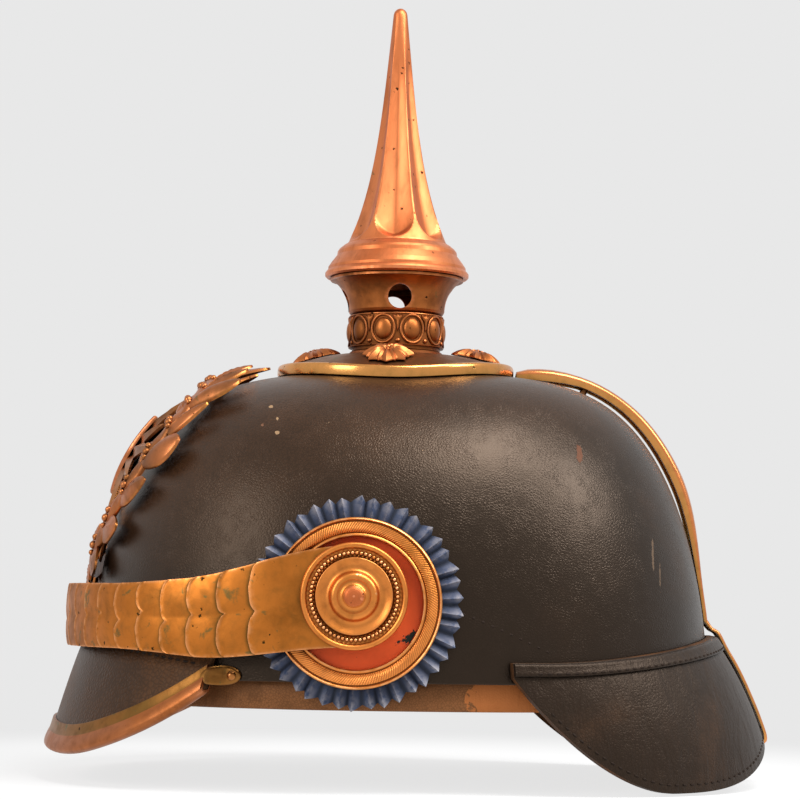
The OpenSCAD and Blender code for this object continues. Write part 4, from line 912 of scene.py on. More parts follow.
def painted(name, base, worn, chip_and_shade, rough, grain=700.0, depth=0.02, chips=None, deep=None):
    """Matt paint on metal or leather: pale worn edges, hollows darkened with grime and painted shade,
    and chips.
    """
    n, shader, where = principled(name, Metallic=0.0, Specular_IOR_Level=0.3)
    cloud = n.effect("Stain", where, Scale=60.0, Low=0.35, High=0.75)
    edge = n.effect("Edge wear", where, Low=0.56, High=0.66)
    # Grime and painted shade: hollows, faces marked deep and corners darken towards deep, or towards
    # the chip tone when deep is not given
    hollow = n.math("MAXIMUM", n.effect("Grime", where, Low=0.47, High=0.4),
                    n.effect("Dirt in corners", where, Reach=0.004))
    tone = n.mixed(cloud, base, shade(base, 0.72))
    tone = n.mixed(edge, tone, worn)
    tone = n.mixed(n.times(hollow, 0.8), tone, deep or chip_and_shade)
    rough_out = n.blend(cloud, rough, rough + 0.12)
    bumps = [(n.noise(where, grain, 4), depth)]
    if chips:
        y, z, reach = (mm / 1000 for mm in chips)
        part = n.add("SeparateXYZ", {0: where}).outputs
        away = n.reach(n.minus(part[1], y), n.minus(part[2], z))
        near = n.ramp(away, reach * 0.2, reach, 0.3, 0.0)
        lost = n.ramp(n.plus(n.noise(where, 260, 5, 0.65), near), 0.7, 0.73)
        tone = n.mixed(lost, tone, chip_and_shade)
        rough_out = n.plus(rough_out, n.times(lost, 0.2))
        bumps.append((lost, -0.12))
    link(n, shader, tone, rough_out, bumps)


def make_finishes():
    """Every finish of the helmet, by name."""
    c = bpy.context.scene.helmet.colours
    cockade = sizes(bpy.context.scene.helmet.cockade)
    rgb = {p.identifier: tuple(getattr(c, p.identifier)) for p in own_props(c)}
    middle = ((-cockade.post_forward + cockade.sag * 0.3) / 1000,
              (cockade.post_height - cockade.sag) / 1000)

    def tint(name, *share):
        return tuple(x * k for x, k in zip(rgb[name], share if len(share) == 3 else share * 3))

    def between(one, two, k):
        return tuple(mix(x, y, k) for x, y in zip(rgb[one], rgb[two]))

    dark, green = rgb["tarnish"], rgb["verdigris"]
    leather("Skull leather", rgb["lacquer"], rgb["worn_lacquer"], grain=1050, depth=0.045,
            rough=(0.33, 0.42), stain=(13.0, 0.5, 0.85), specks=0.02, scratches=0.28, shine=0.4,
            # Painted sheen towards the top and front
            painted_sheen=(0.07, 0.029, 0.012),
            marks=((-42, 91.8, 0.8, 0.6, 0.5, PALE_MARK),
                   (-39.4, 87.2, 0.6, 0.8, 0.5, PALE_MARK),
                   (-44.4, 85.1, 0.6, 0.6, 0.5, (0.2, 0.09, 0.05)),
                   (-39.2, 82.3, 0.9, 0.7, 0.5, PALE_MARK),
                   (62.5, 76.6, 1.4, 4.5, 0.58, (0.12, 0.035, 0.014)),
                   (88, 43, 0.5, 8, 0.56, LONG_MARK),
                   (90.5, 36, 0.4, 5.5, 0.56, LONG_MARK)))
    leather("Visor leather", tint("raw_leather", 0.2), tint("raw_leather", 0.46),
            rgb["raw_leather"], grain=620, depth=0.09, rough=(0.4, 0.52), stain=(18.0, 0.38, 0.66),
            scratches=0.3)
    leather("Guard leather", tint("lacquer", 1.9), tint("worn_lacquer", 1.7), rgb["raw_leather"],
            grain=900, depth=0.05, rough=(0.42, 0.55), stain=(20.0, 0.48, 0.8), wrinkle=0.16,
            scratches=0.35, specks=0.02)
    leather("Cut leather edge", tint("raw_leather", 0.22), tint("raw_leather", 0.6), grain=1400,
            depth=0.03, rough=(0.55, 0.7), stain=(60.0, 0.4, 0.62))
    leather("Bare leather", rgb["raw_leather"], tint("raw_leather", 0.6), grain=1200, depth=0.03,
            rough=(0.6, 0.75))
    leather("Sweatband leather", tint("raw_leather", 1.5), tint("raw_leather", 0.7), grain=1100,
            depth=0.04, rough=(0.42, 0.6), stain=(26.0, 0.45, 0.6), wrinkle=0.12,
            # This mark is a painted pool of light, a tan patch on the left side
            marks=((39, -5, 15, 9, 0.45, rgb["tan_leather"]),))
    leather("Strap leather", tint("raw_leather", 0.35), rgb["raw_leather"], grain=1000, depth=0.05,
            rough=(0.42, 0.58), wrinkle=0.06, stain=(30.0, 0.45, 0.7))
    metal("Copper gilt", rgb["copper"], tint("copper", 0.7, 0.54, 0.44), dark, rough=(0.36, 0.5),
          cloud=(26.0, 0.38, 0.7), pits=0.2, pit_scale=430, streak=2.0, green=0.67)
    # Its wide corner reach paints shade on the neck under the spike's foot
    metal("Neck gilt", rgb["brown_gilt"], tint("brown_gilt", 0.5), dark, rough=(0.36, 0.5),
          cloud=(42.0, 0.38, 0.66), pits=0.2, pit_scale=520, bright=tint("copper", 0.9),
          green=0.66, reach=0.012)
    metal("Stud gilt", between("brown_gilt", "copper", 0.25), tint("brown_gilt", 0.7), dark,
          rough=(0.38, 0.5), pits=0.08, bright=tint("copper", 0.9))
    # Its hollows and corners darken towards the green stain tone: patina, and painted shade
    metal("Polished brass", rgb["brass"], tint("brass", 0.85, 0.74, 0.6), green,
          rough=(0.2, 0.32), pits=0.04)
    metal("Spine gilt", between("copper", "brass", 0.25), between("copper", "brown_gilt", 0.5),
          dark, rough=(0.24, 0.36), cloud=(34.0, 0.45, 0.75), pits=0.05)
    metal("Trim brass", tint("copper", 0.56, 0.6, 0.6), tint("brown_gilt", 0.8), dark,
          rough=(0.36, 0.5), cloud=(34.0, 0.42, 0.7), pits=0.08)
    metal("Trim band", tint("brass", 0.38, 0.36, 0.3), tint("verdigris", 1.1, 0.75, 0.7), dark,
          rough=(0.38, 0.52), cloud=(60.0, 0.4, 0.66), pits=0.15, green=0.6)
    metal("Scale gilt", tint("gilt", 0.98, 0.92, 0.85), tint("gilt", 0.56, 0.54, 0.48),
          tint("verdigris", 0.5), rough=(0.34, 0.5), cloud=(50.0, 0.42, 0.72), pits=0.2,
          pit_scale=380, dents=0.2, bright=(0.9, 0.4, 0.17), green=0.6)
    metal("Rosette gilt", tint("gilt", 1.35, 1.35, 1.7), tint("gilt", 0.9), dark,
          rough=(0.32, 0.44), cloud=(60.0, 0.45, 0.75), pits=0.05, bright=(0.95, 0.5, 0.22),
          green=0.7)
    metal("Engraved ring", tint("gilt", 1.5, 1.45, 1.9), tint("gilt", 1.1), dark,
          rough=(0.3, 0.4), cloud=(50.0, 0.45, 0.75), pits=0.04, hatch=middle)
    metal("Front plate gilt", between("patina", "copper", 0.5), tint("patina", 0.9), dark,
          rough=(0.34, 0.5), cloud=(48.0, 0.45, 0.7), pits=0.1, dents=0.14,
          bright=tint("brass", 0.85, 0.75, 0.6), wear=(0.53, 0.64), green=0.62)
    metal("Star gilt", tint("brass", 0.6, 0.5, 0.45), rgb["patina"], dark, rough=(0.28, 0.42),
          cloud=(40.0, 0.44, 0.7))
    metal("Shield gilt", tint("copper", 0.75), rgb["patina"], dark, rough=(0.28, 0.42),
          cloud=(60.0, 0.48, 0.7), dents=0.1)
    metal("Base plate patina", tint("patina", 0.8, 0.9, 1.1), tint("patina", 0.5), dark,
          rough=(0.42, 0.58), cloud=(40.0, 0.4, 0.68), pits=0.12, green=0.66)
    metal("Screw brass", tint("brass", 0.6, 0.52, 0.5), rgb["patina"], dark, rough=(0.35, 0.5))
    # The last dark tone is the painted shade in the pleat valleys and hollows
    painted("Blue paint", rgb["blue"], (0.36, 0.34, 0.36), (0.008, 0.01, 0.016), 0.55, grain=900,
            depth=0.03)
    # deep is the painted shade at the ring's inner edge and in the red's hollows
    painted("Red paint", rgb["red"], tint("red", 0.9), (0.008, 0.014, 0.01), 0.5,
            chips=(6.8, 13.8, 7.5), deep=tint("red", 0.6))
    n, shader, where = principled("Thread", Metallic=0.0, Specular_IOR_Level=0.06)
    twist = n.noise(where, 2400, 2)
    link(n, shader, n.mixed(twist, rgb["thread"], tint("thread", 4)),
         n.ramp(twist, 0, 1, 0.5, 0.8), [(twist, 0.08)])
    n, shader, where = principled("Lining silk", Metallic=0.0, Sheen_Weight=0.35)
    cloud = n.effect("Stain", where, Scale=20.0, Low=0.4, High=0.7)
    warp, weft = (n.add("TexWave", {"Vector": where, "Scale": 620.0, "Distortion": 0.4},
                        bands_direction=way).outputs[1] for way in "XY")
    weave = n.times(warp, weft)
    tone = n.mixed(cloud, rgb["silk"], tint("silk", 0.45))
    tone = n.mixed(n.times(weave, 0.2), tone, tint("silk", 0.5))
    link(n, shader, tone, n.blend(cloud, 0.55, 0.75),
         [(n.noise(where, 120, 3), 0.2), (weave, 0.03)])


def dress(node, name):
    """Gives a carried-over CAD node its finish."""
    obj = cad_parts[node]
    obj.data.materials.clear()
    obj.data.materials.append(bpy.data.materials[name])
    return obj


def run_lengths(points):
    """How far each point lies along the line through them all."""
    steps = np.linalg.norm(np.diff(points, axis=0), axis=1)
    return np.concatenate([[0], np.cumsum(steps)])


def at_length(s, lengths, points):
    """The line's value at length s, or at each of several lengths."""
    return np.stack([np.interp(s, lengths, column) for column in np.transpose(points)], axis=-1)


def stitches(piece, path, outs, step, size):
    """A row of stitches along a path of points, each lying on the surface."""
    lengths = run_lengths(path)
    for i in range(int(lengths[-1] // step)):
        s = (i + 0.5) * step
        p = at_length(s, lengths, path)
        way = unit(at_length(s + 0.3, lengths, path) - p)
        piece.add(ball(p, (size[1], size[0], size[2]), at_length(s, lengths, outs), way, rows=4,
                       columns=8))


def resampled(points, number):
    """The same broken line with evenly spread points."""
    lengths = run_lengths(points)
    return at_length(np.linspace(0, lengths[-1], number), lengths, points)


def rod(p, q, r0, columns=24, ends=0.3):
    """A round rod from p to q with slightly rounded ends."""
    p, q = np.asarray(p, float), np.asarray(q, float)
    e1, e2, e3 = axes_at(q - p, (0, 0, 1) if abs(unit(q - p)[2]) < 0.9 else (1, 0, 0))
    turns = [360 * j / columns for j in range(columns)]
    rings = [[c + (e1 * cos(a) + e2 * sin(a)) * r for a in turns]
             for c, r in ((p, r0 - ends), (p + e3 * ends, r0), (q - e3 * ends, r0), (q, r0 - ends))]
    return skin(rings, p, q)


def build_skull(form):
    """Leather skull with the old stitch holes on each side."""
    s = form.skull

    def spot(a, k, g):
        p = form.exponents(a)[0]
        end = math.degrees(math.acos((s.crown_hole / form.oval_r(a, g)) ** (p / 2)))
        return form.skull_pt(a, end * (1 - (1 - k) ** 1.5), g)

    part = shell(spot, ROUND, spread(0, 1, 48), 0, -s.thickness, closed=True)
    Piece().add(part, (0, 1, 2)).build("skull_leather", ("Skull leather", *INSIDE_LEATHER),
                                       node="skull", slot="black_leather", bevel=0.6)
    turns = np.linspace(-40, 60, 101)
    path, outs = [], []
    for k in spread(0, 1, 20):
        y, z = mix(21.8, 53.7, k), mix(23.2, 9.5, k ** 1.1)
        a = float(np.interp(y, [form.wall_pt(a, z)[1] for a in turns], turns))
        path.append(form.wall_pt(a, z, -0.1))
        outs.append(form.wall_out(a, z))
    seam = Piece()
    stitches(seam, path, outs, 3.4, (0.75, 0.5, 0.22))
    seam.mirrored().build("side_seam_stitches", "Thread", slot="black_leather")


def build_visor(form):
    """Front visor with its row of stitches, and the metal trim with its lugs."""
    v = form.visor
    us = spread(-1, 1, 132)
    proud = v.thickness + LIFT

    def spot(u, k, g):
        return form.visor_pt(u, mix(form.visor_top(u), form.visor_edge(u), k), g)

    part = shell(spot, us, spread(0, 1, 18), v.thickness)
    Piece().add(part, (0, 1, 2)).build("visor_leather", ("Visor leather", *INSIDE_LEATHER),
                                       node="front_visor", slot="black_leather", bevel=0.7)
    path = [form.visor_pt(u, form.visor_top(u) - 2.8, v.thickness) for u in us]
    outs = [form.wall_out(-90 + v.half_arc * u, form.visor_top(u)) for u in us]
    seam = Piece()
    stitches(seam, path[3:-3], outs[3:-3], 3.1, (1.05, 0.42, 0.3))
    seam.build("visor_stitches", "Thread", slot="black_leather")

    back = v.thickness + SEAT
    outer = smooth_line([(0.8, -8), (0.92, -7.8), (0.92, -5.4), (1, -4.2), (1.3, -3), (1.52, -1.8),
                         (1.6, -0.6), (1.42, 0.5), (0.9, 1.25), (0, 1.75), (-1.2, 1.95),
                         (-2.4, 1.6), (-3.3, 0.8), (-3.5, 0), (-3.5, -1.8), (-3.5, -3.6)], 2)
    inner = resampled([(0, -8), (0, -3.6), (0.1, -1.6), (0.1, 0.15), (-back / 2, 0.45),
                       (-back, 0.15), (-back, -3.6)], len(outer))

    def row(u, line):
        z = form.visor_edge(u)
        along = unit(form.visor_pt(u, z - 1, 0) - form.visor_pt(u, z + 1, 0))
        return [form.visor_pt(u, z - min(q[1], 0), proud + q[0]) + along * max(q[1], 0)
                for q in line]

    verts, faces, _ = sheet([row(u, outer) for u in us], [row(u, inner) for u in us])
    band = [0 if i % (2 * len(outer)) < 6 else 1 for i in range(len(faces))]
    trim = Piece().add((verts, faces, band), (0, 1))
    middle = v.half_arc + 2
    per_mm = 180 / math.pi / form.oval_r(-90 + middle)
    lug = ((0.25, 1.1), (0.5, 1.1), (0.7, 1.08), (0.84, 0.98), (0.94, 0.75), (0.99, 0.4),
           (1, 0.15), (1, 0))
    for side in (-1, 1):
        def lug_pt(r, turn, g):
            a = middle + r * cos(turn) * v.lug_length / 2 * per_mm
            z = 1.8 + r * sin(turn) * v.lug_height / 2
            on_visor = form.visor_g(min(a / v.half_arc, 1), z) + proud
            seat = mix(on_visor, SEAT, ease((a - v.half_arc - 0.3) / 2.2))
            return form.wall_pt(-90 + side * a, z, seat + g)

        rings = [[lug_pt(r, 360 * j / 48, g) for j in range(48)] for r, g in lug]
        trim.add(skin(rings, lug_pt(0, 0, 1.1), lug_pt(0, 0, 0)))
    trim.build("visor_trim_metal", ("Trim band", "Trim brass"), node="visor_trim", slot="brass",
               bevel=0.12, limit=60)
    dress("trim_rivets", "Screw brass")


def build_guard(form):
    """Neck guard, the welt over its seam and both rows of stitches."""
    g = form.guard
    vs = spread(-1, 1, 150)

    def spot(v, k, out):
        return form.guard_pt(v, mix(form.guard_top(v), form.guard_edge(v), k), out)

    part = shell(spot, vs, spread(0, 1, 22), g.thickness)
    Piece().add(part, (0, 1, 2)).build("neck_guard_leather", ("Guard leather", *INSIDE_LEATHER),
                                       node="neck_guard", slot="black_leather", bevel=0.7)

    def face(v, down, out):
        return form.guard_pt(v, form.guard_top(v) - down, g.thickness + LIFT + out)

    h, t = g.welt_height, g.welt_thickness
    line = smooth_line([(0.15, 0.2), (0.3, 0.75), (0.9, 1), (2.1, 0.92), (h - 1, 0.98),
                        (h - 0.2, 0.7), (h, 0.2)], 2)
    welt = shell(lambda v, q, out: face(v, q[0], q[1] * out), vs, line, t)
    Piece().add(welt).build("guard_welt_leather", "Guard leather", node="guard_welt",
                            slot="black_leather", bevel=0.2)
    rows = Piece()
    path = [face(v, 3.4, t * 0.94) for v in vs]
    outs = [form.wall_out(90 - g.half_arc * v, form.guard_top(v)) for v in vs]
    stitches(rows, path[3:-3], outs[3:-3], 3.2, (g.stitch / 2, 0.42, 0.3))
    low = [v for v in vs if abs(v) < 0.93]
    path = [form.guard_pt(v, form.guard_edge(v) + 2.8, g.thickness) for v in low]
    outs = [form.wall_out(90 - g.half_arc * v, 8) for v in low]
    stitches(rows, path, outs, 3.2, (g.stitch / 2, 0.4, 0.26))
    rows.build("guard_stitches", "Thread", slot="black_leather")


def build_spine(form):
    """Rear spine, a channel with upright edges and a rounded back."""
    s, g = form.spine, form.guard
    top_turn = math.degrees(math.acos(((form.crown.base_radius + 0.6) / form.oval_r(90))
                                      ** (REAR_PQ[0] / 2)))
    seam_turn = math.degrees(math.asin(((g.seam_height + 5) / form.skull.height)
                                       ** (REAR_PQ[1] / 2)))
    low, half = s.end_height - 2 * SEAT, s.width / 2

    def over_skull(k):
        gap = SEAT + s.lift * ease(k / 0.12) * (1 - ease((k - 0.55) / 0.33))
        back = mix(s.height, low + 2 * SEAT, ease((k - 0.5) / 0.42)) + 0.7 * sin(180 * k) ** 2
        head = math.sqrt(1 - (1 - min(k * 14, 1)) ** 2)
        return [*form.skull_pt(90, mix(top_turn, seam_turn, k ** 0.85), gap),
                (back - gap) * mix(0.5, 1, head), half * mix(0.8, 1, head)]

    def below(p, wide=1.0):
        return [*p, low, half * wide]

    end, top = form.guard_edge(0), g.seam_height
    clear = g.thickness + g.welt_thickness + 2 * SEAT
    run = [over_skull(k) for k in (0, 0.01, 0.025, 0.045, 0.07, *spread(0.1, 1, 36))]
    tail = [run[-1], below(form.wall_pt(90, top + 2, 2.4)),
            below(form.wall_pt(90, top + 0.7, clear)), below(form.guard_pt(0, top - 1.2, clear))]
    tail += [below(form.guard_pt(0, mix(top - g.welt_height - 0.6, end + 3, k), g.thickness
                                 + mix(g.welt_thickness * 0.7 + SEAT, 0.8, min(1, 2 * k))))
             for k in spread(0, 1, 5)]
    tail += [below(form.guard_pt(0, end + dz, g.thickness + out), wide) for dz, out, wide in
             ((0.6, 0.7, 0.95), (-0.9, 0.1, 0.8), (-1.2, -3, 0.7), (2.4, -3.6, 0.6))]
    line = [np.array(p) for p in run[:-1]] + smooth_line(tail, 4)
    last = len(line) - 1
    section = ((1, 0), (1, 0.25), (1, 0.48), (0.985, 0.62), (0.94, 0.73), (0.86, 0.81),
               (0.72, 0.88), (0.5, 0.95), (0.25, 0.985), (0, 1))

    def row(i, inset):
        p, high, wide = line[i][:3], line[i][3], line[i][4]
        d = unit(line[min(i + 1, last)][:3] - line[max(i - 1, 0)][:3])
        out = np.array([0, -d[2], d[1]])
        sheet_t = min(s.thickness, high / 2) / s.thickness
        pts = [(q * wide - min(q, 0.3) / 0.3 * inset,
                h * high - min(h, 0.8) / 0.8 * inset * sheet_t) for q, h in section]
        pts = [(-x, h) for x, h in pts] + pts[-2::-1]
        return [p + np.array([x, 0, 0]) + out * h for x, h in pts]

    verts, faces, _ = sheet([row(i, 0) for i in range(last + 1)],
                            [row(i, s.thickness) for i in range(last + 1)])
    m = 4 * len(section) - 2
    flank = [1 if i < last * m and (i % m < 2 or 2 * len(section) - 5 < i % m) else 0
             for i in range(len(faces))]
    Piece().add((verts, faces, flank), (0, 1)).build(
        "rear_spine_metal", ("Spine gilt", "Polished brass"), node="rear_spine",
        slot="brass", bevel=0.2, limit=50)
    for node in ("spine_posts", "spine_nuts", "plate_posts", "plate_nuts", "stud_nuts",
                 "post_nuts"):
        dress(node, "Screw brass")


def build_crown(form):
    """Base plate with its polished ring, and the star studs."""
    c = form.crown
    ring_in = c.base_radius - c.ring_width
    turns = spread(0, 357.5, 143)

    def dome(a, drop):
        return [polar(a, r, form.dome_z(a, r) - drop) for r in spread(13, ring_in, 16)]

    def ring(a, line):
        return [polar(a, ring_in + c.ring_width * q[0], form.ring_foot(a) + c.ring_height * q[1])
                for q in line]

    outer = smooth_line([(0, 0.74), (0.08, 0.88), (0.26, 0.98), (0.52, 1), (0.8, 0.94),
                         (0.96, 0.76), (1, 0.52), (0.99, 0.25), (0.96, 0)], 2)
    inner = resampled([(0, 0.5), (0.5, 0.7), (0.6, 0.35), (0.6, 0)], len(outer))
    plate = Piece().add(sheet([dome(a, 0) for a in turns],
                              [dome(a, c.sheet) for a in turns], closed=True))
    plate.add(sheet([ring(a, outer) for a in turns], [ring(a, inner) for a in turns],
                    closed=True), (1, 1, 1))
    plate.build("base_plate_metal", ("Base plate patina", "Polished brass"),
                node="base_plate", slot="dark_brass", bevel=0.12, limit=60)

    studs = Piece()
    ribs = c.stud_ribs
    for i in range(c.stud_count):
        a = c.stud_turn + 360 * i / c.stud_count
        fall = form.dome_z(a, c.stud_circle - 2) - form.dome_z(a, c.stud_circle + 2)
        lean = math.degrees(math.atan(fall / 4))
        seat = polar(a, c.stud_circle, form.dome_z(a, c.stud_circle) + SEAT)
        out = np.array([sin(lean) * cos(a), sin(lean) * sin(a), cos(lean)])
        side, up, out = axes_at(out, polar(a, 1, 0))

        def spot(k, b, high):
            long_ray = abs(2 * ((ribs * b / 360) % 1) - 1)
            short_ray = abs(2 * ((ribs * b / 360 + 0.5) % 1) - 1)
            r = c.stud_radius * k * (1 - k * k * (0.24 - 0.24 * max(long_ray ** 1.6,
                                                                    0.55 * short_ray ** 4)))
            ridge = max(long_ray ** 1.3, 0.75 * short_ray ** 2) - 0.4
            return (seat + (side * cos(b) + up * sin(b)) * r
                    + out * (high + (0.3 * c.stud_height * ridge * sin(180 * min(k, 1)) ** 0.6
                                     if high else 0)))

        rise = ((0.14, 0.9), (0.22, 0.86), (0.27, 0.72), (0.33, 0.72), (0.42, 0.76), (0.55, 0.68),
                (0.68, 0.55), (0.8, 0.4), (0.9, 0.25), (0.97, 0.13), (1, 0.06), (1, 0))
        rings = [[spot(k, 2.8125 * j, c.stud_height * h) for j in range(128)] for k, h in rise]
        studs.add(skin(rings, spot(0, 0, c.stud_height * 0.9), seat))
        studs.add(ball(seat + out * c.stud_height * 0.72, 1.35, out, rows=8, columns=20))
        foot = seat - out * (c.rise + form.skull.thickness + 5.5)
        studs.add(rod(foot, seat, 1.7))
    studs.build("star_stud_metal", "Stud gilt", node="star_studs", slot="copper",
                crisp=28)


def build_neck(form):
    """Neck, and the collar of oval pearls in their rings with darts between them."""
    s = form.spike
    dress("neck", "Neck gilt")
    dress("spike_foot", "Copper gilt")
    foot, high = form.base_top + s.collar_up, s.collar_height
    inside = s.neck_radius + 0.12
    out_r, middle = inside + 0.8, foot + high / 2
    lips = [(inside, 0), (out_r + 0.3, 0), (out_r + 0.4, 0.15), (out_r + 0.4, 0.35), (out_r, 0.6),
            (out_r, high - 0.55), (out_r + 0.25, high - 0.35), (out_r + 0.25, high - 0.12),
            (out_r + 0.15, high), (inside, high)]
    collar = Piece().add(turned(lips, lambda x, y, h: np.array([x, y, foot + h]), 180))
    pitch = 360 / s.boss_count
    for i in range(s.boss_count):
        a = PEARL_TURN + i * pitch

        def spot(x, z, g, turn=a):
            return polar(turn + math.degrees(x / out_r), out_r + g, middle + z)

        rings = [[spot(s.pearl_width * k * cos(b), s.pearl_height * k * sin(b),
                       s.pearl_rise * math.sqrt(1 - k * k) - 0.5) for b in spread(0, 350, 35)]
                 for k in (0.15, 0.35, 0.55, 0.72, 0.86, 0.95, 1)]
        collar.add(skin(rings, spot(0, 0, s.pearl_rise - 0.5), spot(0, 0, -0.6)))
        wire = []
        for b in spread(0, 354, 59):
            way = np.array([cos(b), sin(b)])
            p = way * (s.pearl_width + 0.75, s.pearl_height + 0.85)
            wire.append([spot(p[0] + way[0] * 0.5 * cos(t), p[1] + way[1] * 0.5 * cos(t),
                              0.1 + 0.55 * sin(t)) for t in range(0, 360, 36)])
        collar.add(skin(wire, joined=True))

        def dart(x, z, g, turn=a + pitch / 2):
            return spot(x, z, g, turn)

        outline = [(0, 5.3), (0.75, 4.6), (1.9, 5.1), (1.5, 3.9), (0.55, 2.6), (0.42, 0.2), (0, -1),
                   (-0.42, 0.2), (-0.55, 2.6), (-1.5, 3.9), (-1.9, 5.1), (-0.75, 4.6)]
        rings = [[dart(x * r, mix(3.6, z, r), g) for x, z in outline]
                 for r, g in ((0.5, 0.7), (0.85, 0.5), (1, 0.2), (1, -0.3))]
        collar.add(skin(rings, dart(0, 3.6, 0.85), dart(0, 3.6, -0.3)))
        collar.add(ball(dart(0, -4.2, 0.1), (0.95, 0.8, 0.6), polar(a + pitch / 2, 1, 0), rows=6,
                        columns=12))
    collar.build("pearl_collar_metal", "Neck gilt", node="pearl_ring", slot="copper",
                 crisp=45)


def build_spike(form):
    """Fluted shaft whose hollow faces end in round bottoms above the foot."""
    s = form.spike
    sector = 360 / s.flute_count
    columns = s.flute_count * 36
    high, tip = s.shaft_height, s.tip_radius

    def ridge(h):
        x = h / high
        r = tip + (s.shaft_foot_radius - tip) * (0.536 * x + 0.464 * x ** 4.05)
        return r * (math.sqrt(1 - (1 - h / tip) ** 2 * 0.98) if h < tip else 1)

    def spot(h, j):
        turn = 360 * j / columns
        off = abs((turn + sector / 2) % sector - sector / 2) / (sector / 2)
        x = max(0, off - 0.045) / 0.955
        cut = 1 - (1 - x) ** 1.75
        bottom = high - mix(9.5, 0.5, math.sqrt(max(0, 1 - (1 - x) ** 2)))
        depth = s.flute_share * ease(h / high * 2.4) * ease((bottom - h) / 1.7)
        return polar(turn + s.ridge_turn, ridge(h) * (1 - depth * cut),
                     form.shaft_z + high - h)

    hs = [tip * k for k in (0.03, 0.12, 0.3, 0.6, 1)]
    hs += spread(tip + 1.5, high - 14, 40) + spread(high - 13.6, high, 40)
    rings = [[spot(h, j) for j in range(columns)] for h in hs]
    top = np.array([0, 0, form.shaft_z + high])
    rim = [[p * (0.72, 0.72, 1) for p in rings[-1]]]
    Piece().add(skin(rings + rim, top, np.array([0, 0, form.shaft_z]))).build(
        "fluted_shaft", "Copper gilt", body="spike", node="spike_shaft", slot="copper",
        crisp=32)


def plate_leaf(form, piece, p, turn, size, width, lift, curl=0.0, plain=False):
    """One leaf with a midrib and veins, or a plain round one, from p, heading at angle turn."""
    pl = form.plate

    def half(u):
        full = 1.5 if plain else 0.8
        return width / 2 * max(0.04, sin(180 * min(u, 1) ** full) ** 0.6 if u > 0 else 0.3)

    def spot(u, q, g):
        along, side = size * u, half(u) * q
        mid = (1.9 if plain else 0.95) * sin(180 * u) ** 0.8 * (1 - abs(q) ** 2)
        rib = 0 if plain else 0.45 * max(0, 1 - abs(q) / 0.12) * (1 - u)
        vein = 0 if plain else 0.22 * (1 - abs(q)) * sin(180 * u) * (
            0.5 + 0.5 * math.cos(2 * math.pi * (u * 7 - abs(q) * 1.5)))
        return form.plate_pt(p[0] + along * cos(turn) - side * sin(turn),
                             p[1] + along * sin(turn) + side * cos(turn),
                             pl.gap + lift * u + curl * u * u + mid + rib + vein + g)

    qs = (-1, -0.8, -0.55, -0.3, -0.12, 0, 0.12, 0.3, 0.55, 0.8, 1)
    piece.add(shell(spot, spread(0, 1, 22), qs, pl.sheet))


def build_plate(form):
    """Front plate: a wreath of leaves with berries, a rayed star and a blank shield."""
    build_wreath(form)
    build_star(form)
    build_shield(form)


def build_wreath(form):
    """Two branches of leaves and berries that meet in a fan at the foot and a leaf at the top."""
    pl = form.plate
    wreath = Piece()
    for s in (-1, 1):
        def branch(q):
            return np.array([s * pl.half_width * sin(q), pl.half_height * (1 - cos(q))])

        def stem(q, e, g):
            b = branch(q) + e * STEM_HALF_WIDTH * np.array([s * sin(q), -cos(q)])
            twist = 0.35 * sin(q * 22 + e * 140)
            round_up = 1.1 * math.sqrt(1 - e * e) + twist * (1 - e * e) if g else 0
            return form.plate_pt(b[0], b[1], pl.gap + g + round_up)

        wreath.add(shell(stem, spread(-2, 182, 120), (-1, -0.9, -0.6, -0.3, 0, 0.3, 0.6, 0.9, 1),
                         pl.sheet))
        for i in range(pl.leaf_count):
            q = mix(*LEAF_TURNS, i / (pl.leaf_count - 1))
            heading, turn = (q if s > 0 else 180 - q), s * 38
            broad = i in BROAD_LEAVES
            slim = 0.55 if i > 6 else 1
            plate_leaf(form, wreath, branch(q), heading - turn * (1.2 if broad else 1),
                       pl.leaf_length * (1.08 if broad else 1),
                       pl.leaf_width * (1.5 if broad else slim), 1, 0.8, broad)
            if i % 2:
                plate_leaf(form, wreath, branch(q), heading + turn * 0.8, pl.leaf_length * 0.62,
                           pl.leaf_width * 0.8, 0.4)
            b = branch(q + 7)
            for off, r in ((0, 1.5), (2.6, 1.25), (-2.4, 1.1)):
                p = b + off * np.array([cos(q + 40), sin(q + 40)])
                wreath.add(ball(form.plate_pt(p[0], p[1], pl.gap + 2.1), r,
                                form.plate_pt(p[0], p[1], 5) - form.plate_pt(p[0], p[1], 0),
                                rows=8, columns=14))
        for i in range(4):
            plate_leaf(form, wreath, (s * 3, 3), -58 + 30 * i if s > 0 else 238 - 30 * i,
                       pl.leaf_length * (0.75 + 0.1 * i), pl.leaf_width * 0.7, 0.6)
    plate_leaf(form, wreath, (0, 2 * pl.half_height - 4), 90, pl.leaf_length * 1.2,
               pl.leaf_width * 1.2, 0.3, 0.6)
    wreath.build("wreath_metal", "Front plate gilt", node="wreath_plate", slot="dark_brass",
                 crisp=62)


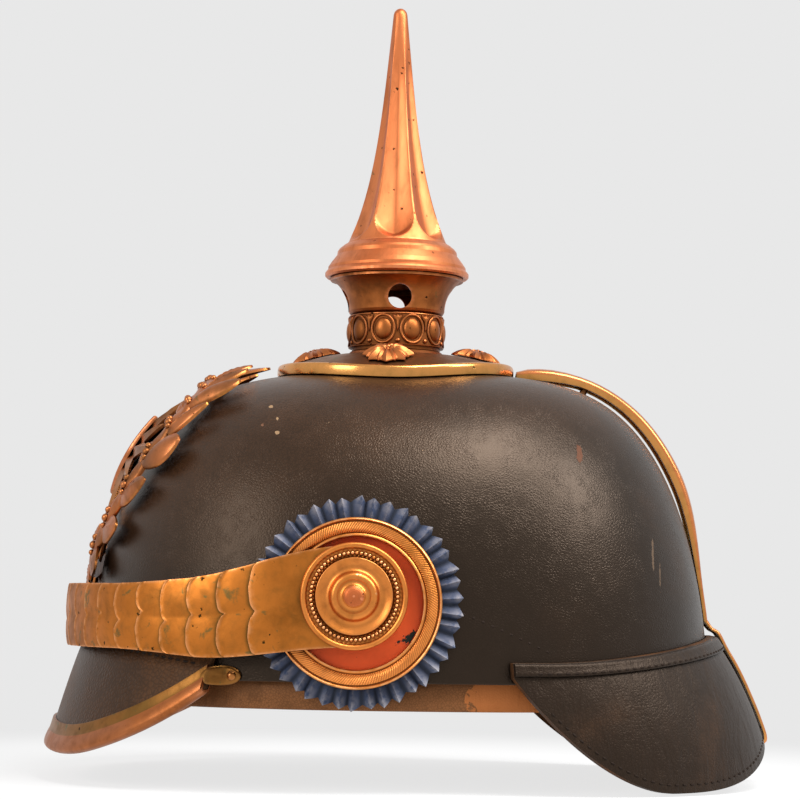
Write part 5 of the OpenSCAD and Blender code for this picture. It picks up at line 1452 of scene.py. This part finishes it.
def build_star(form):
    """Star with long, middle and short rays, each with a ridge."""
    pl = form.plate
    rays, high = 16, pl.gap - 0.45

    def at(x, w, g):
        return form.plate_pt(x, pl.half_height + w, high + g)

    def tip(i, share):
        a = 90 + 180 * i / rays
        reach = pl.star_radius * (0.46 if i % 2 else 1 if i % 4 == 0 else 0.78)
        return np.array([cos(a), sin(a)]) * reach * share

    star = []
    for share, ridge, valley in ((0.12, 1.5, 1.4), (0.3, 1.6, 1.05), (0.5, 1.5, 0.75),
                                 (0.75, 1, 0.35), (0.93, 0.5, 0.1), (1, 0.1, 0), (1, -0.8, -0.8),
                                 (0.4, -0.9, -0.9)):
        ring = []
        for i in range(2 * rays):
            g0, g1 = (valley, ridge) if i % 2 else (ridge, valley)
            for f in (0, 0.25, 0.5, 0.75):
                p = mix(tip(i, share), tip(i + 1, share), f)
                ring.append(at(p[0], p[1], mix(g0, g1, f)))
        star.append(ring)
    Piece().add(skin(star, at(0, 0, 1.4), at(0, 0, -0.9))).build(
        "star_metal", "Star gilt", node="plate_star", slot="brass", crisp=14)


def build_shield(form):
    """Blank shield with a raised rim."""
    pl = form.plate
    r = pl.shield_half_width

    def at(x, w, g):
        return form.plate_pt(x, pl.half_height + w, pl.gap + g)

    def half(h):
        return 1 if h > 0.1 else 1 - ((0.1 - h) / 1.6) ** 1.9

    side = [(half(h), h) for h in (1.2, 1, 0.8, 0.6, 0.35, 0.1, -0.15, -0.35, -0.6, -0.8, -1,
                                   -1.15, -1.3, -1.42)]
    top = [(0.33 * k, 1.08 + 0.12 * (k / 3) ** 2) for k in (1, 2)]
    outline = [(0, 1.08)] + top + side + [(0, -1.5)] + [(-x, y) for x, y in (top + side)[::-1]]
    rings = [[at(k * r * x, k * r * y, 1 + g) for x, y in outline]
             for k, g in ((0.3, 1.62), (0.6, 1.4), (0.8, 1.1), (0.83, 1.12), (0.86, 1.35),
                          (0.91, 1.45), (0.96, 1.35), (0.99, 1), (1, 0.1))]
    Piece().add(skin(rings, at(0, 0, 2.7), at(0, 0, 1.1))).build(
        "shield_metal", "Shield gilt", node="plate_shield", slot="copper", crisp=50)


def build_cockades(form):
    """Pleated discs with their painted centres, hatched rings, rosettes and posts."""
    c = form.cockade
    y0, z0 = -c.post_forward + c.sag * 0.3, c.post_height - c.sag
    inner_r, bore = c.hole_radius - 1.5, 2.55
    steps = 10

    def depth(i):
        t = (i / steps) % 1
        return abs(t - 0.4) / (0.4 if t < 0.4 else 0.6)

    def spot(i, k, g):
        d, uneven = depth(i), sin(i // steps * 137)
        turn = 360 * (i + 1.6 * uneven * k * (1 - d)) / (c.pleats * steps)
        edge = c.radius - 2.3 * d - 0.35 * (1 + uneven) * (1 - d)
        r = mix(inner_r, edge, k)
        fold = 0.95 * k ** 0.6 * (1 - 2 * d ** 0.75)
        return np.array([form.disc_x + fold + g, y0 + r * cos(turn), z0 + r * sin(turn)])

    columns = range(c.pleats * steps)
    ks = spread(0, 1, 10)
    tips = [[max(ease((k - 0.6) / 0.4) * (1 - depth(i)) ** 1.5, 0.5 * (1 - depth(i)) ** 4)
             for k in ks] for i in columns]
    # Painted shade in the pleat valleys, passed on as the deep attribute
    valleys = [[ease((depth(i) - 0.5) / 0.4)] * len(ks) for i in columns]
    disc = Piece().add(shell(spot, columns, ks, 0.35, -0.35, closed=True), wear=tips,
                       deep=valleys)

    ring = ((c.hole_radius, -0.5), (c.ring_radius, -0.5), (c.ring_radius, 0.95), (27.5, 1.5),
            (27.1, 1.78), (26.75, 1.6), (26.55, 1.25), (26.35, 1.25), (26.15, 1.6), (24.5, 1.8),
            (22.9, 1.6), (22.7, 1.3), (22.5, 1.35), (22.25, 1.75), (21.9, 1.9), (21.5, 1.75),
            (c.hole_radius, 1.2))
    r = c.rosette_radius
    rose = smooth_line([(r - 0.9, 0), (r - 0.2, 0.5), (r, 1.1), (r - 0.3, 1.75), (r - 0.9, 2),
                        (r - 1.6, 1.7), (r - 2.2, 1.1), (r - 3.5, 0.9), (r - 4.5, 1.2),
                        (r - 5, 2.1), (r - 5.6, 2), (r * 0.56, 1.2), (r * 0.48, 1.6),
                        (r * 0.44, 2.5), (r * 0.4, 3.2), (r * 0.34, 3.4), (r * 0.28, 3),
                        (r * 0.22, 3.4), (r * 0.19, 4), (bore, 4)], 3)
    rose = [(bore, 0)] + [tuple(q) for q in rose]
    beads_r = r - 3.4

    def on_disc(x, y, h):
        return np.array([form.ring_x + h, y0 + x, z0 + y])

    def on_post(x, y, h):
        return np.array([form.rosette_x + h, -c.post_forward + x, c.post_height + y])

    verts, faces = turned(ring, on_disc, 180)
    hatched = [1 if 8 <= f[0] % len(ring) <= 9 else 0 for f in faces]
    band = Piece().add((verts, faces, hatched), (0, 1))
    boss = Piece().add(turned(rose, on_post, 144))
    for i in range(c.bead_count):
        a = 360 * i / c.bead_count
        boss.add(ball(on_post(beads_r * cos(a), beads_r * sin(a), 1.35), (0.66, 0.66, 0.78),
                      (1, 0, 0), rows=6, columns=10))
    for side, name in SIDES:
        flip = side < 0
        disc.build(f"pleated_disc_{name}", "Blue paint", node=f"cockade_{name}",
                   slot="blue_leather", crisp=60, flip=flip)
        band.build(f"hatched_ring_{name}", ("Rosette gilt", "Engraved ring"),
                   node=f"cockade_ring_{name}", slot="brass", crisp=50, flip=flip)
        boss.build(f"rosette_metal_{name}", "Rosette gilt", node=f"rosette_{name}", slot="brass",
                   flip=flip)
        dress(f"cockade_centre_{name}", "Red paint")
        dress(f"post_{name}", "Copper gilt")


def lobe(v):
    return math.sqrt(max(0, 1 - ((abs(v) - 0.5) / 0.5) ** 2))


def rim_wear(k, v, end, side):
    """How far a scale's face is rubbed at (k, v): its free end and its two sides."""
    return max(ease((k - end) / (1 - end)), ease((abs(v) - side) / (1 - side))) * 0.7


def build_scales(form):
    """Root scales and the overlapping chin scales with their double lobes."""
    s, c = form.scales, form.cockade
    vs = spread(-1, 1, 40)
    ks = spread(0, 1, 20)
    tongue = s.buckle_x + s.buckle_width / 2 + 18
    right_count = int((form.loop_length - tongue - s.lobe - form.root_s) // form.scale_pitch)

    def edge(v, i):
        notch = 0.14 * sin(i * 151)
        u = (v - notch) / (1 - notch if v > notch else 1 + notch)
        ragged = 0.05 * sin(v * 420 + i * 77) + 0.035 * sin(v * 950 + i * 31)
        return lobe(u) * (0.95 + 0.1 * sin(i * 97 + v * 50)) + ragged * (1 - v * v)

    def scale(i, s0, size):
        def spot(k, v, g):
            at = s0 + k * (size + s.lobe * edge(v, i))
            hump = 0.3 * sin(180 * min(k, 1)) * (1 - abs(2 * abs(v) - 1) ** 2)
            lip = 0.3 * ease((k - 0.93) / 0.07)
            return form.loop_pt(at, v, SEAT + 1.25 / form.scale_pitch * (at - s0)
                                + 0.5 * (1 - v * v) + hump + lip + g, form.scale_half(at))

        def shadow(k, v):
            past = (k * (size + s.lobe * edge(v, i)) + form.scale_pitch - size
                    - s.lobe * edge(v, i - 1))
            return 1 - ease((past - 0.4) / 1.6)

        wear = [[rim_wear(k, v, 0.92, 0.93) for v in vs] for k in ks]
        return shell(spot, ks, vs, s.thickness), wear, [[shadow(k, v) for v in vs] for k in ks]

    def root_pt(k, v, g):
        at = 0.1 + k * (form.root_s + 0.9 + s.lobe * edge(v, -1))
        rise = ease((k - 0.4) / 0.5) * (1.625 + 0.5 * (1 - v * v))
        return form.loop_pt(at, v, SEAT + rise + g, form.scale_half(at))

    rows = spread(0.09, 1, 26)
    root = Piece().add(shell(root_pt, rows, vs, s.thickness),
                       wear=[[rim_wear(k, v, 0.95, 0.94) for v in vs] for k in rows])
    rim = c.rosette_radius - 0.6
    root.add(turned([(2.6, 0), (rim, 0), (rim, s.thickness), (2.6, s.thickness)],
                    lambda x, y, h: np.array([form.root_x + SEAT + h, -c.post_forward + x,
                                              c.post_height + y]), 72))
    for side, name in SIDES:
        chain = Piece()
        total = s.scale_count if side > 0 else right_count
        for i in range(total):
            # deep carries the painted shadow that each scale casts on the next
            part, wear, deep = scale(i, form.root_s + i * form.scale_pitch,
                                     form.scale_pitch + (-2 if i == total - 1 else 0.8))
            chain.add(part, wear=wear, deep=deep)
        chain.build(f"chin_scale_metal_{name}", "Scale gilt", body="chin_scales",
                    node=f"scales_{name}", slot="brass", bevel=0.16, flip=side < 0)
        root.build(f"root_scale_metal_{name}", "Scale gilt", body="chin_scales",
                   node=f"root_scale_{name}", slot="brass", bevel=0.16, flip=side < 0)


def build_straps(form):
    """Leather straps behind the scales, the buckle and the keeper."""
    s = form.scales
    t, total = s.strap_thickness, form.loop_length
    heel = s.buckle_x + s.buckle_width / 2
    start = form.root_s + 6.5
    vs = (-1, -0.94, -0.7, -0.4, 0, 0.4, 0.7, 0.94, 1)

    def on_loop(at, v, g):
        return form.loop_pt(at, v, g - 0.25 * abs(v) ** 8, s.strap_height / 2)

    def tongue_pt(d, v, g):
        narrow = 0.94 * min(1, 0.45 + 0.55 * math.sqrt(max(0, 1 - ((d - heel - 13) / 5) ** 2))
                            if d > heel + 13 else 1)
        return form.right_pt(d, v * narrow, (t + 0.4) * ease(d / 16) + g)

    def strip(pts):
        return sheet([[p(v, 0) for v in vs] for p in pts], [[p(v, -t) for v in vs] for p in pts])

    left = [lambda v, g, at=at: on_loop(at, v, g) for at in spread(start, total - 2, 70)]
    left += [lambda v, g, d=d: tongue_pt(d, v, g) for d in spread(2, heel + 18, 40)]
    Piece().add(strip(left)).build("strap_leather_left", "Strap leather",
                                   body="chin_scales", node="strap_left", slot="brown_leather",
                                   bevel=0.3)
    right = [lambda v, g, at=at: on_loop(at, v, g) * (-1, 1, 1)
             for at in spread(start, total - heel - s.bar_radius - 0.6, 70)]
    bar = form.right_pt(heel, 0, 0.4 - SEAT - s.bar_radius - 0.05 - 0.8)
    band = Piece().add(strip(right))
    for low, high in ((-7, -1.8), (1.8, 7)):
        band.add(rod(bar + (0, 0, low), bar + (0, 0, high), s.bar_radius + 0.85))
    band.build("strap_leather_right", "Strap leather", body="chin_scales",
               node="strap_right", slot="brown_leather", bevel=0.3)
    for node in ("buckle_frame", "buckle_prong"):
        dress(node, "Trim brass")
    keeper = dress("strap_keeper", "Strap leather")
    mod = keeper.modifiers.new("Rounded edges", "BEVEL")
    mod.width, mod.segments, mod.limit_method = 0.0006, 3, "ANGLE"


def build_liner(form):
    """Leather sweatband and the gathered lining above it."""
    l, t = form.lining, form.skull.thickness
    line = smooth_line([(l.band_height, BAND_INSET), (l.band_height * 0.4, 3.4), (2, 1.4),
                        (-l.band_drop * 0.6, 1), (-l.band_drop, 1.7)], 6)

    def band(a, q, g):
        wave = 0.3 * sin(a * 9 + 40 * sin(a * 2)) + 0.2 * sin(a * 23)
        return form.wall_pt(a, q[0], -t - q[1] - g - max(0, wave) * (0.4 if q[0] < 0 else 1))

    part = shell(band, ROUND, line, 0, l.band_thickness, closed=True)
    Piece().add(part).build("sweatband_leather", "Sweatband leather", node="sweatband",
                            slot="brown_leather", bevel=0.5)
    hem_z, hem_gap = l.band_height - 4, BAND_INSET + l.band_thickness + 0.5
    columns = 24 * l.gathers

    def silk(j, k, g):
        a = 360 * j / columns
        deep = 0.9 * cos(a * l.gathers) + 0.35 * sin(a * l.gathers * 2.5 + 60 * sin(a * 3))
        gap = mix(hem_gap, l.gap, k) + deep * ease(k * 3) * (1 - 0.55 * k) + g
        q = form.exponents(a)[1]
        first = math.degrees(math.asin((hem_z / (form.skull.height - gap)) ** (q / 2)))
        turn = mix(first, 88.5, 1 - (1 - k) ** 1.4)
        return form.skull_pt(a, turn, -t - gap)

    cloth = shell(silk, range(columns), spread(0, 1, 40), l.cloth * 0.5, closed=True)
    lining = Piece().add(cloth).build("lining_silk", "Lining silk", node="lining",
                                      slot="lining_cloth")


def link_object(name, data):
    """A new object in the scene."""
    obj = bpy.data.objects.new(name, data)
    bpy.context.scene.collection.objects.link(obj)
    return obj


def build_stage():
    """Ground, backdrop light, lamps and camera."""
    s = sizes(bpy.context.scene.helmet.stage)
    scene = bpy.context.scene
    pale = tuple(s.background)
    world = bpy.data.worlds.new("Studio")
    world.use_nodes = True
    n = Nodes(world.node_tree)
    back = world.node_tree.nodes["Background"]
    back.inputs["Color"].default_value = (*pale, 1)
    world.node_tree.links.new(n.blend(n.seen(), s.world, 1.0), back.inputs["Strength"])
    scene.world = world

    ground = bpy.data.materials.new("Studio ground")
    ground.use_nodes = True
    tree = ground.node_tree
    n = Nodes(tree)
    tree.nodes.remove(tree.nodes["Principled BSDF"])
    paper = n.add("BsdfDiffuse", {"Color": shade(pale, 0.32)}).outputs[0]
    glow = n.add("Emission", {"Color": pale, "Strength": 0.93}).outputs[0]
    plain = n.add("Emission", {"Color": pale, "Strength": 1.0}).outputs[0]
    where = n.add("TexCoord").outputs["Object"]
    away = n.add("VectorMath", {0: where}, operation="LENGTH").outputs[1]
    lit = n.add("AddShader", {0: paper, 1: glow}).outputs[0]
    floor = n.add("MixShader", {0: n.ramp(away, 0.1, 0.34, 1.0, 0.0), 1: plain, 2: lit}).outputs[0]
    dull = n.add("BsdfDiffuse", {"Color": shade(pale, 0.6)}).outputs[0]
    both = n.add("MixShader", {0: n.seen(), 1: dull, 2: floor}).outputs[0]
    tree.links.new(both, tree.nodes["Material Output"].inputs["Surface"])
    mesh = bpy.data.meshes.new("studio_ground")
    corners = ((-1, -1), (1, -1), (1, 1), (-1, 1))
    mesh.from_pydata([(GROUND_HALF * x, GROUND_HALF * y, -s.ground / 1000) for x, y in corners],
                     [], [(0, 1, 2, 3)])
    mesh.materials.append(ground)
    link_object("studio_ground", mesh)

    for name, place, aim, width, height, watts in (
            ("Top light", (0.39, 0.32, 0.88), (0, 0.03, 0.08), 0.5, 0.42, s.top_watts),
            ("Right light", (0.34, 0.88, 0.74), (0, 0.03, 0.07), 0.4, 0.4, s.right_watts),
            ("Left light", (0.7, -0.85, 0.5), (0, -0.02, 0.05), 0.4, 0.6, s.left_watts)):
        data = bpy.data.lights.new(name, "AREA")
        data.shape, data.size, data.size_y = "RECTANGLE", width, height
        data.energy = watts
        turn = (Vector(aim) - Vector(place)).to_track_quat("-Z", "Y").to_matrix().to_4x4()
        link_object(name, data).matrix_world = Matrix.Translation(place) @ turn

    p, c, r = s.pitch, cos(-s.roll), sin(-s.roll)
    fwd = Vector((-cos(p), 0, sin(p)))
    right, up = Vector((0, 1, 0)), Vector((sin(p), 0, cos(p)))
    right, up = c * right - r * up, r * right + c * up
    data = bpy.data.cameras.new("Camera")
    data.lens, data.sensor_width = s.lens, 36
    data.clip_start, data.clip_end = 0.01, 20
    camera = link_object("Camera", data)
    place = Matrix.Translation((s.distance / 1000, s.camera_y / 1000, s.camera_z / 1000))
    camera.matrix_world = place @ Matrix((right, up, -fwd)).transposed().to_4x4()
    scene.camera = camera
    scene.view_settings.view_transform = "Standard"


class HELMET_OT_leather(bpy.types.Operator):
    """Builds the skull, the visor with its trim, and the neck guard"""
    bl_idname = "helmet.leather"
    bl_label = "Skull, visor and guard"

    def execute(self, context):
        form = Form()
        build_skull(form)
        build_visor(form)
        build_guard(form)
        return {"FINISHED"}


class HELMET_OT_spine(bpy.types.Operator):
    """Builds the rear spine and dresses the hidden posts and nuts"""
    bl_idname = "helmet.spine"
    bl_label = "Rear spine"

    def execute(self, context):
        build_spine(Form())
        return {"FINISHED"}


class HELMET_OT_crown(bpy.types.Operator):
    """Builds the base plate with its studs, and the neck with its pearl ring"""
    bl_idname = "helmet.crown"
    bl_label = "Base plate and neck"

    def execute(self, context):
        form = Form()
        build_crown(form)
        build_neck(form)
        return {"FINISHED"}


class HELMET_OT_spike(bpy.types.Operator):
    """Builds the fluted spike"""
    bl_idname = "helmet.spike"
    bl_label = "Spike"

    def execute(self, context):
        build_spike(Form())
        return {"FINISHED"}


class HELMET_OT_front_plate(bpy.types.Operator):
    """Builds the wreath, star and shield of the front plate"""
    bl_idname = "helmet.front_plate"
    bl_label = "Front plate"

    def execute(self, context):
        build_plate(Form())
        return {"FINISHED"}


class HELMET_OT_cockades(bpy.types.Operator):
    """Builds the cockades, their rings and the rosettes"""
    bl_idname = "helmet.cockades"
    bl_label = "Cockades and rosettes"

    def execute(self, context):
        build_cockades(Form())
        return {"FINISHED"}


class HELMET_OT_chin_scales(bpy.types.Operator):
    """Builds the chin scales, their straps, the buckle and the keeper"""
    bl_idname = "helmet.chin_scales"
    bl_label = "Chin scales"

    def execute(self, context):
        form = Form()
        build_scales(form)
        build_straps(form)
        return {"FINISHED"}


class HELMET_OT_liner(bpy.types.Operator):
    """Builds the sweatband and the gathered lining"""
    bl_idname = "helmet.liner"
    bl_label = "Sweatband and lining"

    def execute(self, context):
        build_liner(Form())
        return {"FINISHED"}


class HELMET_OT_finishes(bpy.types.Operator):
    """Makes the shared effects and every finish"""
    bl_idname = "helmet.finishes"
    bl_label = "Finishes"

    def execute(self, context):
        make_groups()
        make_finishes()
        return {"FINISHED"}


class HELMET_OT_stage(bpy.types.Operator):
    """Builds the ground, the lamps and the camera"""
    bl_idname = "helmet.stage"
    bl_label = "Studio"

    def execute(self, context):
        build_stage()
        return {"FINISHED"}


OPERATORS = (HELMET_OT_finishes, HELMET_OT_leather, HELMET_OT_spine, HELMET_OT_crown,
             HELMET_OT_spike, HELMET_OT_front_plate, HELMET_OT_cockades, HELMET_OT_chin_scales,
             HELMET_OT_liner, HELMET_OT_stage)


class HELMET_PT_panel(bpy.types.Panel):
    """Sizes, colours and studio of the helmet"""
    bl_label = "Spiked leather helmet"
    bl_idname = "HELMET_PT_panel"
    bl_space_type = "VIEW_3D"
    bl_region_type = "UI"
    bl_category = "Helmet"

    def draw(self, context):
        settings = context.scene.helmet
        for operator in OPERATORS:
            self.layout.operator(operator.bl_idname)
        for prop in own_props(settings):
            box = self.layout.box()
            box.label(text=prop.identifier.replace("_", " ").capitalize())
            group = getattr(settings, prop.identifier)
            for inner in own_props(group):
                box.prop(group, inner.identifier)


CLASSES = (SkullSizes, VisorSizes, GuardSizes, SpineSizes, CrownSizes, SpikeSizes, CockadeSizes,
           ScaleSizes, PlateSizes, LiningSizes, FinishColours, StageSettings, HelmetSettings,
           *OPERATORS, HELMET_PT_panel)


def register():
    for cls in CLASSES:
        bpy.utils.register_class(cls)
    bpy.types.Scene.helmet = PointerProperty(type=HelmetSettings)


def unregister():
    del bpy.types.Scene.helmet
    for cls in reversed(CLASSES):
        bpy.utils.unregister_class(cls)


def main():
    register()
    for operator in OPERATORS:
        group, call = operator.bl_idname.split(".")
        getattr(getattr(bpy.ops, group), call)()


if __name__ == "__main__":
    main()
